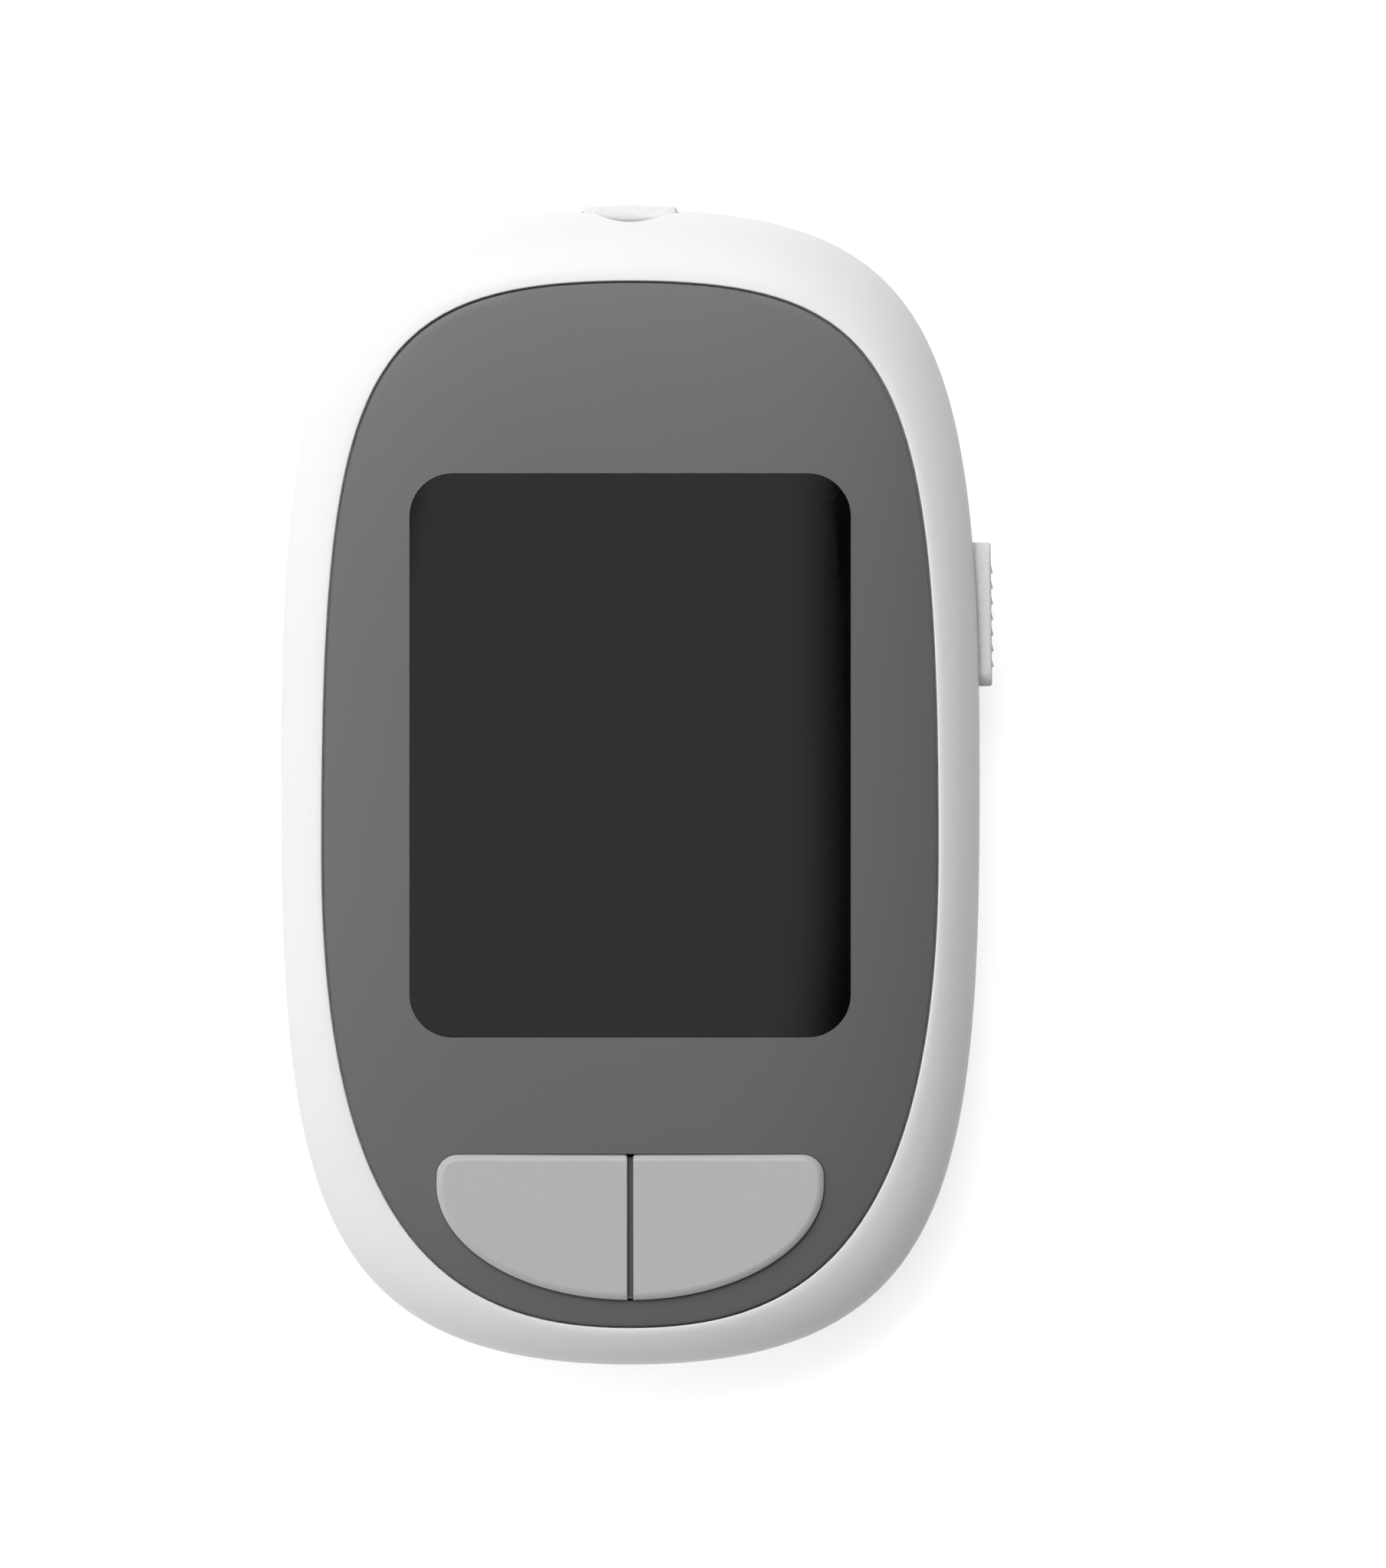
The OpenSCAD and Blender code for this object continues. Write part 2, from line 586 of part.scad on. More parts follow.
// ---------- ejector ----------
slider_lean = 0.11;
slider_base_x = slider_x - rib_h;
slider_top_y = slider_y + slider_len;
end_slope = [1.25, 0.35];
end_round = 1.05;
slider_side = let (h = slider_h / 2, y = slider_y + end_round, z = h - end_round)
    concat(arc([y, seam_z - z], end_round, 270, 180, 4), arc([y, seam_z + z], end_round, 180, 90, 4),
        [[slider_top_y - end_slope[0], seam_z + h], [slider_top_y, seam_z + h - end_slope[1]],
         [slider_top_y, seam_z - h + end_slope[1]], [slider_top_y - end_slope[0], seam_z - h]]);
first_rib = 2.3;
function slider_face(y) = slider_base_x - slider_lean * (y - slider_y) / slider_len;
slider_inner_x = pocket_x + 0.15;
module ejector_slider() color(light_grey) {
    ribs = [for (i = [rib_count - 1:-1:0])
        let (y = slider_top_y - first_rib - i * rib_pitch, x = slider_face(y))
        each [[x, y], [x + rib_h, y + tiny], [x, y + rib_pitch / 2]]];
    intersection() {
        translate([0, 0, slider_z[0]]) linear_extrude(slider_h)
            polygon(concat([[slider_inner_x, slider_y], [slider_base_x, slider_y]], ribs,
                [[slider_face(slider_top_y), slider_top_y], [slider_inner_x, slider_top_y]]));
        rotate([90, 0, 90]) linear_extrude(slider_x + 1) polygon(slider_side);
    }
    block([lane_x[1], slider_inner_x + tiny], stem_y, [arm_z, arm_z + arm_t]);
}

tongue_half_w = 2.4;
bar_y = [19.5, 22];
lug_y = [12, 13];
module ejector_arm() color(metal) {
    translate([0, 0, arm_z]) linear_extrude(arm_t)
        polygon([[lane_x[1], stem_y[0]], [lane_x[1], bar_y[1]], [tongue_half_w, bar_y[1]],
            [tongue_half_w, socket_y[0] + 1], [-tongue_half_w, socket_y[0] + 1], [-tongue_half_w, bar_y[0]],
            [lane_x[0], bar_y[0]], [lane_x[0], stem_y[0]]]);
    block([lane_x[0] + 0.2, lane_x[1] - 0.2], lug_y, [arm_z + arm_t - tiny, 11.4]);
}

// Compression spring between the arm's lug and the stop in the front case
coil_sides = 6;
coil_steps = 10;
module ejector_spring() color(metal) {
    length = spring_stop_y[0] - lug_y[1];
    centre = [(lane_x[0] + lane_x[1]) / 2, lug_y[1], 10.55];
    r = (coil_d - wire_d) / 2;
    rings = coil_turns * coil_steps;
    rise = (length - wire_d) / rings;
    wire = [for (k = [0:rings]) let (a = 360 * k / coil_steps, y = wire_d / 2 + rise * k)
        [for (s = [0:coil_sides - 1]) let (b = 360 * s / coil_sides, out = r + wire_d / 2 * cos(b))
            centre + [out * cos(a), y + wire_d / 2 * sin(b), out * sin(a)]]];
    skin(wire);
}

// ---------- electronics ----------
module main_board() color(board_green) difference() {
    translate([0, 0, board_z]) linear_extrude(board_t) polygon(egg(case_outline, board_inset));
    at_screws() translate([0, 0, board_z - 1]) cylinder(r = screw_r + 0.2, h = 4, $fn = round_fn);
}

chip_t = 1;
module processor_chip() color("black") block([-12, -3], [-2, 7], [board_top, board_top + chip_t]);
module memory_chip() color("black") block([2, 7], [-8, -4], [board_top, board_top + 0.9]);
module crystal_can() color(metal) block([1.5, 4.7], [3, 4.5], [board_top, board_top + chip_t]);
module board_parts() color("tan") {
    part = [1.6, 0.8, 0.6];
    for (i = [0:5]) translate([-13 + i * 2.6, -12, board_top]) cube(part);
    for (i = [0:3]) translate([8, 0 + i * 2.2, board_top]) cube(part);
    for (i = [0:3]) translate([-8 + i * 3, 31, board_z - part.z]) cube(part);
}
module buzzer() color("black") translate([-9, 14, board_z - 3.2]) cylinder(r = 5.5, h = 3.2, $fn = round_fn);

module case_screws() color(metal) at_screws() {
    translate([0, 0, head_z - head_h]) difference() {
        cylinder(r = head_r, h = head_h, $fn = round_fn);
        for (turn = [0, 90]) rotate([0, 0, turn]) translate([-1, -0.2, -tiny]) cube([2, 0.4, 0.7]);
    }
    translate([0, 0, head_z - tiny]) cylinder(r = screw_r, h = shank_len, $fn = round_fn);
}

rear_case();
front_case();
face_plate();
display_lens();
lens_gasket();
lcd_panel();
lcd_holder();
light_guide();
backlight_leds();
zebra_connector();
main_board();
processor_chip();
memory_chip();
crystal_can();
board_parts();
buzzer();
left_button();
right_button();
button_carrier();
left_dome();
right_dome();
strip_port_insert();
strip_connector();
strip_contacts();
ejector_slider();
ejector_arm();
ejector_spring();
battery_door();
left_cell();
right_cell();
positive_contacts();
negative_contacts();
case_screws();
rear_label();
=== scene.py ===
"""Looks of a blood glucose meter that lies on its back and is seen from straight above.

The meter is an egg-shaped white case in two halves with a domed grey face plate, a black display window,
two grey keys, a strip port at the top end and a ribbed slider on the right-hand side that pushes the used
strip out. +Z comes out of the face, +Y runs to the strip port and +X to the slider. Sizes are in mm, and
become metres where a mesh is made.
"""

import json
import math

import bmesh
import bpy
import numpy as np
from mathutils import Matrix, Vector, geometry


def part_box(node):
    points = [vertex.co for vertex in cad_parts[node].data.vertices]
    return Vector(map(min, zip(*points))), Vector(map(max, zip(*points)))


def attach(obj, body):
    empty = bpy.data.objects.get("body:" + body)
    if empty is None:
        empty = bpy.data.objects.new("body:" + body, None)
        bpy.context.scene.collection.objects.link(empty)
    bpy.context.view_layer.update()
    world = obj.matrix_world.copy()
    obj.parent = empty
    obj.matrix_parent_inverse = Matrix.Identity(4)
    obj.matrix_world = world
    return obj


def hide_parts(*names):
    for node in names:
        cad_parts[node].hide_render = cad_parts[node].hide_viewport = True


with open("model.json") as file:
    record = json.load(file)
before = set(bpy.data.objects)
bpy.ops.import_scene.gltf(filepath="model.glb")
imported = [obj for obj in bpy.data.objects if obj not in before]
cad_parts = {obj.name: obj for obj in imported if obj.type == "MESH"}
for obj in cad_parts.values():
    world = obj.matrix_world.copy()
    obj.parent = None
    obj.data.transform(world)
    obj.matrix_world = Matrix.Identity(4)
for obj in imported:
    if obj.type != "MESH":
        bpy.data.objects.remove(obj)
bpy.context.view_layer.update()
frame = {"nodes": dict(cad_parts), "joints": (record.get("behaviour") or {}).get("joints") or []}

# ---------------------------------------------------------------------------------------------- front case
# The upper half of the case is one white ABS moulding with a 1.6 mm wall. Its side rolls over into the rim
# round the face plate, and a deck below the rim carries the plate and the display. Four screws that come
# up through the rear case pull the two halves together on a tongue and groove.
mm = 0.001


def node_box(node):
    """Lowest and highest corner of a CAD node, in mm."""
    low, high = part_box(node)
    return low / mm, high / mm


rear_low, rear_high = node_box("rear_case")
front_low, front_high = node_box("front_case")
plate_low = node_box("face_plate")[0]

# An outline is its half width, the height along the meter where it is widest, its top and bottom ends, and
# how far the upper and lower quarters pull at the side and at the end.
case_outline = (rear_high.x, 0.8, rear_high.y, rear_low.y, 0.781, 0.877, 0.683, 0.934)
face_outline = (22.92, -5, 37.6, -40.2, 0.834, 0.885, 0.871, 0.509)
outline_steps = 48

seam_z = front_low.z
rim_z = front_high.z
deck_z = plate_low.z
deck_t = 1.2
wall = 1.6
shoulder_z = 10.6
roll_angle = 70
roll_share = 0.9
roll_steps = 18
rim_fillet = 0.1
seam_fillet = 0.12
tongue_h = rear_high.z - seam_z
clear = 0.1


def egg_knots(outline, inset=0):
    """The outline's four Bezier knots, anticlockwise from its top end, each as handle, knot, handle."""
    side, wide_y, top, bottom, upper_side, upper_end, lower_side, lower_end = outline
    a, up, down = side - inset, top - wide_y - inset, wide_y - bottom - inset
    return [
        ((a * upper_end, wide_y + up), (0, wide_y + up), (-a * upper_end, wide_y + up)),
        ((-a, wide_y + upper_side * up), (-a, wide_y), (-a, wide_y - lower_side * down)),
        ((-a * lower_end, wide_y - down), (0, wide_y - down), (a * lower_end, wide_y - down)),
        ((a, wide_y - lower_side * down), (a, wide_y), (a, wide_y + upper_side * up)),
    ]


def egg(outline, inset=0, steps=outline_steps):
    """Points of the outline drawn in by inset, anticlockwise from its top end."""
    knots = egg_knots(outline, inset)
    points = []
    for here, there in zip(knots, knots[1:] + knots[:1]):
        quarter = geometry.interpolate_bezier(here[1], here[2], there[0], there[1], steps + 1)
        points += [(p.x, p.y) for p in quarter[:-1]]
    return points


def arc(centre, radius, start, end, steps):
    """Points of an arc, from one angle to another in degrees."""
    angles = [math.radians(start + (end - start) * i / steps) for i in range(steps + 1)]
    return [(centre[0] + radius * math.cos(a), centre[1] + radius * math.sin(a)) for a in angles]


def place(name, mesh):
    obj = bpy.data.objects.new(name, mesh)
    bpy.context.scene.collection.objects.link(obj)
    return obj


def outline_curve(name, outline):
    """The outline as a curve object in metres, for the nodes that carry a wall's section round it."""
    curve = bpy.data.curves.new(name, "CURVE")
    curve.dimensions = "3D"
    curve.resolution_u = outline_steps
    spline = curve.splines.new("BEZIER")
    spline.bezier_points.add(3)
    spline.use_cyclic_u = True
    for point, (before, knot, after) in zip(spline.bezier_points, egg_knots(outline)):
        point.handle_left_type = point.handle_right_type = "FREE"
        point.handle_left, point.co, point.handle_right = (
            Vector((*p, 0)) * mm for p in (before, knot, after)
        )
    return place(name, curve)


def add(tree, kind, inputs=None, **settings):
    """Adds a node with its settings, and links or sets its inputs, which are given by name or number."""
    node = tree.nodes.new(kind)
    for name, value in settings.items():
        setattr(node, name, value)
    for key, value in (inputs or {}).items():
        if isinstance(value, bpy.types.NodeSocket):
            tree.links.new(value, node.inputs[key])
        else:
            node.inputs[key].default_value = value
    return node


def new_tree(name, inputs):
    """A Geometry Nodes tree with named inputs and one geometry output; returns it and its input node."""
    tree = bpy.data.node_groups.new(name, "GeometryNodeTree")
    for label, kind in inputs.items():
        tree.interface.new_socket(label, in_out="INPUT", socket_type="NodeSocket" + kind)
    tree.interface.new_socket("Geometry", in_out="OUTPUT", socket_type="NodeSocketGeometry")
    return tree, add(tree, "NodeGroupInput").outputs


def close_tree(tree, shape, finish):
    """Ends a tree in Realize Instances and Set Material."""
    real = add(tree, "GeometryNodeRealizeInstances", {"Geometry": shape})
    painted = add(tree, "GeometryNodeSetMaterial", {"Geometry": real.outputs[0], "Material": finish})
    add(tree, "NodeGroupOutput", {0: painted.outputs[0]})


def settle(obj):
    """Makes the shape that the object's modifiers give its own plain mesh."""
    evaluated = obj.evaluated_get(bpy.context.evaluated_depsgraph_get())
    made = bpy.data.meshes.new_from_object(evaluated)
    obj.modifiers.clear()
    obj.data = made
    return obj


def grow(name, tree, inputs, points=()):
    """A mesh object from a tree: points are the vertices that it starts from, in mm."""
    start = bpy.data.meshes.new(name)
    start.from_pydata([Vector(p) * mm for p in points], [], [])
    obj = place(name, start)
    modifier = obj.modifiers.new("shape", "NODES")
    modifier.node_group = tree
    for socket in tree.interface.items_tree:
        if socket.in_out == "INPUT" and socket.name in inputs:
            modifier[socket.identifier] = inputs[socket.name]
    return settle(obj)


def carried_round():
    """Tree that carries a wall's section round two outlines.

    The section comes in as a row of points: x is the share of the way from the case's outline to the face's,
    y the distance drawn in from there, and z the height.
    """
    tree, given = new_tree("wall carried round the outlines", {
        "Section": "Geometry", "Case outline": "Object", "Face outline": "Object",
        "Points round": "Int", "Finish": "Material",
    })
    rows = add(tree, "GeometryNodeAttributeDomainSize", {0: given["Section"]}).outputs["Point Count"]
    columns = add(tree, "ShaderNodeMath", {0: given["Points round"], 1: 1}, operation="ADD").outputs[0]
    grid = add(tree, "GeometryNodeMeshGrid", {"Vertices X": columns, "Vertices Y": rows})
    share = add(tree, "ShaderNodeSeparateXYZ", {0: grid.outputs["UV Map"]}).outputs
    last = add(tree, "ShaderNodeMath", {0: rows, 1: 1}, operation="SUBTRACT").outputs[0]
    row = add(tree, "ShaderNodeMath", {0: share["Y"], 1: last}, operation="MULTIPLY").outputs[0]
    index = add(tree, "FunctionNodeFloatToInt", {0: row}, rounding_mode="ROUND").outputs[0]
    position = add(tree, "GeometryNodeInputPosition").outputs[0]
    section = add(tree, "GeometryNodeSampleIndex",
                  {"Geometry": given["Section"], "Value": position, "Index": index},
                  data_type="FLOAT_VECTOR")
    section = add(tree, "ShaderNodeSeparateXYZ", {0: section.outputs[0]}).outputs
    thousand = 1 / mm
    mix = add(tree, "ShaderNodeMath", {0: section["X"], 1: thousand}, operation="MULTIPLY").outputs[0]

    def along(outline):
        """Place and direction on an outline, at this column."""
        line = add(tree, "GeometryNodeObjectInfo", {"Object": given[outline]}).outputs["Geometry"]
        return add(tree, "GeometryNodeSampleCurve", {"Curves": line, "Factor": share["X"]},
                   mode="FACTOR", use_all_curves=True).outputs

    case, face = along("Case outline"), along("Face outline")
    spot = add(tree, "ShaderNodeMix", {0: mix, 4: case["Position"], 5: face["Position"]},
               data_type="VECTOR").outputs[1]
    heading = add(tree, "ShaderNodeMix", {0: mix, 4: case["Tangent"], 5: face["Tangent"]},
                  data_type="VECTOR").outputs[1]
    inward = add(tree, "ShaderNodeVectorMath", {0: (0, 0, 1), 1: heading},
                 operation="CROSS_PRODUCT").outputs[0]
    inward = add(tree, "ShaderNodeVectorMath", {0: inward}, operation="NORMALIZE").outputs[0]
    drawn = add(tree, "ShaderNodeVectorMath", {0: inward, "Scale": section["Y"]},
                operation="SCALE").outputs[0]
    lift = add(tree, "ShaderNodeCombineXYZ", {"Z": section["Z"]}).outputs[0]
    spot = add(tree, "ShaderNodeVectorMath", {0: spot, 1: drawn}, operation="ADD").outputs[0]
    spot = add(tree, "ShaderNodeVectorMath", {0: spot, 1: lift}, operation="ADD").outputs[0]
    moved = add(tree, "GeometryNodeSetPosition", {"Geometry": grid.outputs["Mesh"], "Position": spot})
    shut = add(tree, "GeometryNodeMergeByDistance", {"Geometry": moved.outputs[0], "Distance": 1e-6})
    close_tree(tree, shut.outputs[0], given["Finish"])
    return tree


def stack(levels):
    """A closed shape through levels with equal numbers of points: its points and its faces."""
    n, count = len(levels[0]), len(levels)
    points = [point for level in levels for point in level]
    sides = [
        (k * n + i, k * n + (i + 1) % n, (k + 1) * n + (i + 1) % n, (k + 1) * n + i)
        for k in range(count - 1) for i in range(n)
    ]
    return points, sides + [tuple(reversed(range(n))), tuple(range((count - 1) * n, count * n))]


def lifted(outline, z):
    return [(p[0], p[1], z) for p in outline]


def prism(outline, low, high):
    return stack([lifted(outline, low), lifted(outline, high)])


def block(x, y, z):
    return prism([(x[0], y[0]), (x[1], y[0]), (x[1], y[1]), (x[0], y[1])], z[0], z[1])


def turned(profile, centre=(0, 0), steps=48):
    """A shape turned about an upright axis through centre, from its (radius, height) points."""
    return stack([lifted(arc(centre, r, 0, 360 - 360 / steps, steps - 1), z) for r, z in profile])


def rod(centre, radius, low, high):
    return turned([(radius, low), (radius, high)], centre)


def face_out(mesh):
    bmesh.ops.recalc_face_normals(mesh, faces=mesh.faces)


def solid(name, *shapes):
    """One object made of closed shapes, each of them points in mm and faces."""
    points, faces = [], []
    for shape_points, shape_faces in shapes:
        faces += [tuple(len(points) + i for i in face) for face in shape_faces]
        points += shape_points
    data = bpy.data.meshes.new(name)
    data.from_pydata([Vector(p) * mm for p in points], [], faces)
    mesh = bmesh.new()
    mesh.from_mesh(data)
    face_out(mesh)
    mesh.to_mesh(data)
    mesh.free()
    return place(name, data)


def combine(obj, operation, tool):
    """Joins the object with a tool, or cuts it with one. The tool is used up."""
    modifier = obj.modifiers.new("combine", "BOOLEAN")
    modifier.operation = operation
    modifier.object = tool
    modifier.solver = "EXACT"
    modifier.use_self = True
    settle(obj)
    bpy.data.objects.remove(tool)


def close_ends(obj):
    """Fills the open ends of a shape with flat faces, and turns its faces outwards."""
    mesh = bmesh.new()
    mesh.from_mesh(obj.data)
    bmesh.ops.holes_fill(mesh, edges=[e for e in mesh.edges if e.is_boundary])
    face_out(mesh)
    mesh.to_mesh(obj.data)
    mesh.free()


def finish(obj, material, sharp=32):
    """Smooths the shading up to edges sharper than an angle in degrees, and gives the piece its material."""
    mesh = bmesh.new()
    mesh.from_mesh(obj.data)
    bmesh.ops.remove_doubles(mesh, verts=mesh.verts, dist=0.002 * mm)
    bmesh.ops.dissolve_degenerate(mesh, edges=mesh.edges, dist=0.001 * mm)
    face_out(mesh)
    for face in mesh.faces:
        face.smooth = True
        face.material_index = 0
    for edge in mesh.edges:
        edge.smooth = edge.calc_face_angle(0) < math.radians(sharp)
    mesh.to_mesh(obj.data)
    mesh.free()
    obj.data.materials.clear()
    obj.data.materials.append(material)
    even = obj.modifiers.new("even shading", "WEIGHTED_NORMAL")
    even.keep_sharp = True
    settle(obj)


def linear(colour):
    """An sRGB hex colour as the linear RGBA that shaders take."""
    parts = [int(colour[i:i + 2], 16) / 255 for i in (1, 3, 5)]
    return [p / 12.92 if p <= 0.04045 else ((p + 0.055) / 1.055) ** 2.4 for p in parts] + [1]


def new_material(name):
    """An empty material: returns it, its tree and Object coordinates."""
    material = bpy.data.materials.new(name)
    material.use_nodes = True
    material.node_tree.nodes.clear()
    where = add(material.node_tree, "ShaderNodeTexCoord").outputs["Object"]
    return material, material.node_tree, where


def dress(tree, pattern, pale, deep, roughness, sheen=None, bump=None, **more):
    """Ends a material in its surface, whose two shades are mixed by a pattern.

    The roughness is one value or a range; a range follows sheen, or else the same pattern. bump is a pattern
    of heights and its depth in mm. Further inputs of the surface have their own names.
    """
    tone = add(tree, "ShaderNodeMix", {0: pattern, 6: linear(pale), 7: linear(deep)}, data_type="RGBA")
    if isinstance(roughness, tuple):
        roughness = add(tree, "ShaderNodeMapRange", {
            0: pattern if sheen is None else sheen, 1: 0.3, 2: 0.7, 3: roughness[0], 4: roughness[1],
        }).outputs[0]
    inputs = {"Base Color": tone.outputs[2], "Roughness": roughness} | more
    if bump:
        relief = add(tree, "ShaderNodeBump", {"Height": bump[0], "Distance": bump[1] * mm})
        inputs["Normal"] = relief.outputs[0]
    surface = add(tree, "ShaderNodeBsdfPrincipled", inputs)
    add(tree, "ShaderNodeOutputMaterial", {"Surface": surface.outputs[0]})


def moulded(name, pale, deep, grain, depth, gloss, cloud=9.0):
    """Moulded plastic: two close shades in soft clouds, and the fine pits of the mould's spark-eroded face.

    grain is the distance between pits and depth their height, in mm; gloss is the lowest and highest
    roughness over the surface.
    """
    material, tree, where = new_material(name)
    clouds = add(tree, "ShaderNodeTexNoise", {"Vector": where, "Scale": 1 / (cloud * mm)}).outputs["Fac"]
    pits = add(tree, "ShaderNodeTexNoise", {
        "Vector": where, "Scale": 1 / (grain * mm), "Detail": 3.0, "Roughness": 0.6}).outputs["Fac"]
    dress(tree, clouds, pale, deep, gloss, sheen=pits, bump=(pits, depth), IOR=1.53)
    return material


# White ABS with the very fine matt of a spark-eroded mould: it looks smooth, and light rolls off it softly.
case_white = moulded("white ABS, fine matt", "#EFEFEE", "#EBEBEA", grain=0.12, depth=0.0012,
                     gloss=(0.42, 0.5))

case_curve = outline_curve("case outline", case_outline)
face_curve = outline_curve("face outline", face_outline)
carry = carried_round()


def shell(name, section, finish_material):
    """A wall that follows both outlines, from its section's points (share, inset, height)."""
    return grow(name, carry, {
        "Case outline": case_curve, "Face outline": face_curve,
        "Points round": 4 * outline_steps, "Finish": finish_material,
    }, points=section)


def rolled(share):
    """Height of the roll between the side wall (share 0) and the rim (share 1)."""
    full = 1 - math.cos(math.radians(roll_angle))
    angle = math.acos(1 - share * full)
    return shoulder_z + (rim_z - shoulder_z) * math.sin(angle) / math.sin(math.radians(roll_angle))


def roll_points():
    """The roll's points at even turns of the surface, up to the share where the rim's fillet begins."""
    full = 1 - math.cos(math.radians(roll_angle))
    top_angle = math.acos(1 - roll_share * full)
    shares = [(1 - math.cos(top_angle * i / roll_steps)) / full for i in range(roll_steps + 1)]
    return [(share, 0, rolled(share)) for share in shares]


rim_slope = 18
rim_top = rim_z - 0.2
front_section = (
    [(0, inset, z) for inset, z in arc((seam_fillet, seam_z + seam_fillet), seam_fillet, 270, 180, 3)]
    + [(0, 0, seam_z + 1.3)]
    + roll_points()
    + [(1, inset, z) for inset, z in arc((-rim_fillet, rim_top), rim_fillet, 90 + rim_slope, 0, 5)]
    + [(1, 0, deck_z - deck_t / 2), (0, wall + 0.3, deck_z - deck_t / 2),
       (0, wall, seam_z + tongue_h + clear), (0, wall / 2 - clear, seam_z + tongue_h + clear),
       (0, wall / 2 - clear, seam_z), (0, seam_fillet, seam_z)]
)
front = shell("front_shell", front_section, case_white)

board_top = node_box("main_board")[1].z
lens_low, lens_high = node_box("display_lens")
lens_r = 3.2
gasket_w = 1


def rounded(x, y, radius, steps=8):
    """A rectangle with round corners, anticlockwise."""
    corners = [(x[1], y[1], 0), (x[0], y[1], 90), (x[0], y[0], 180), (x[1], y[0], 270)]
    points = []
    for cx, cy, start in corners:
        inwards = (cx + (-radius if cx == x[1] else radius), cy + (-radius if cy == y[1] else radius))
        points += arc(inwards, radius, start, start + 90, steps)
    return points


def window(inset):
    """The display window drawn in by inset."""
    return rounded((lens_low.x + inset, lens_high.x - inset), (lens_low.y + inset, lens_high.y - inset),
                   lens_r - inset, steps=12)


keys_half_w = 14.4
keys_wide_y = -29.5
keys_top_y = -27.3
keys_bottom_y = -38.1
keys_corner_r = 1.6


def keys_outline(out, steps=32):
    """Both keys as one outline, grown by out: half an ellipse with a straight upper edge."""
    a, b, r = keys_half_w + out, keys_wide_y - keys_bottom_y + out, keys_corner_r + out
    bowl = [(a * math.cos(t), keys_wide_y + b * math.sin(t))
            for t in (math.pi * (1 + i / steps) for i in range(steps + 1))]
    top = keys_top_y + out - r
    return bowl + arc((a - r, top), r, 0, 90, 8) + arc((r - a, top), r, 90, 180, 8)


screw_places = [(x, y) for y, x in ((30.5, 16.5), (-27.5, 19.3)) for x in (-x, x)]
post_r = 2.4
screw_r = 1
slider_low, slider_high = node_box("ejector_slider")
travel = {j["name"]: 1000 * max(map(abs, j["range_m"])) for j in frame["joints"]}
pad_x, pad_y, pad_z = (22.6, 24.2), (5.5, 24.6), (4.6, 11)
pocket_x = 24
stem_y, stem_z = (9.6, 15), (8.5, 9.3)
mouth_low, mouth_high = node_box("strip_port_insert")
mouth_half_w = 3.5
mouth_z = (6.4, 11.4)
scoop_r = 5.7
scoop_depth = 0.95


def slider_pocket():
    """The pocket in the side wall that the slider runs in, over its travel."""
    return block((pocket_x, pocket_x + 5),
                 (slider_low.y - 0.2, slider_high.y + travel["ejector_slide"] + 0.2),
                 (slider_low.z - 0.15, slider_high.z + 0.15))


def mouth_hole():
    """The opening in the end wall for the mouth piece, and the chamber behind it for its flange."""
    inner_y = case_outline[2] - 3.6
    flange_y = (mouth_low.y - clear, case_outline[2] - wall - 0.25)
    return [
        block((-mouth_half_w - clear, mouth_half_w + clear), (inner_y, case_outline[2] + 2),
              (mouth_z[0] - clear, mouth_z[1] + clear)),
        block((mouth_low.x - clear, mouth_high.x + clear), flange_y,
              (mouth_low.z - clear, mouth_high.z + clear)),
    ]


combine(front, "UNION", solid(
    "front case inside",
    prism(egg(face_outline, -0.6), deck_z - deck_t, deck_z),
    *[rod(p, post_r, board_top, deck_z - 0.5) for p in screw_places],
    block(pad_x, pad_y, (seam_z, pad_z[1])),
))
through_deck = (deck_z - 2.5, deck_z + 0.5)
combine(front, "DIFFERENCE", solid(
    "front case openings",
    prism(window(gasket_w), *through_deck),
    prism(keys_outline(1), *through_deck),
    *[rod(p, screw_r, board_top - 1, board_top + 2.9) for p in screw_places],
    slider_pocket(),
    block((pad_x[0] - 1, pocket_x + 1),
          (stem_y[0] - 0.2, stem_y[1] + travel["ejector_slide"] + 0.2), (stem_z[0] - 0.2, stem_z[1] + 0.2)),
    *mouth_hole(),
    rod((0, case_outline[2] - scoop_depth + scoop_r), scoop_r, mouth_z[1], mouth_z[1] + 5),
))
finish(front, case_white)
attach(front, "housing")
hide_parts("front_case")

# ----------------------------------------------------------------------------------------------- rear case
# The lower half of the case, moulded in the same white ABS. Its flat back turns up into the side wall in a
# quarter of an ellipse. It holds the battery bay behind a sliding door, four screw wells and the shallow
# recess of the rear label, and its tongue fits inside the front case all round.
back_inset = 3.4
back_turn_z = 3.8
back_steps = 14
floor_t = 1.5


def back_turn(inset, low, steps):
    """The turn from the flat back up to the side wall, a quarter of an ellipse, from (inset, low)."""
    angles = [math.radians(90 * i / steps) for i in range(steps + 1)]
    return [(0, inset * (1 - math.sin(t)), low + (back_turn_z - low) * (1 - math.cos(t))) for t in angles]


def flared(section, low_z, flare):
    """Moves a turned cutter's low end out by flare, so that the hole it cuts has a broken edge."""
    radius, top = section
    return [(radius + flare + 1, low_z - 1), (radius, low_z + flare), (radius, top)]


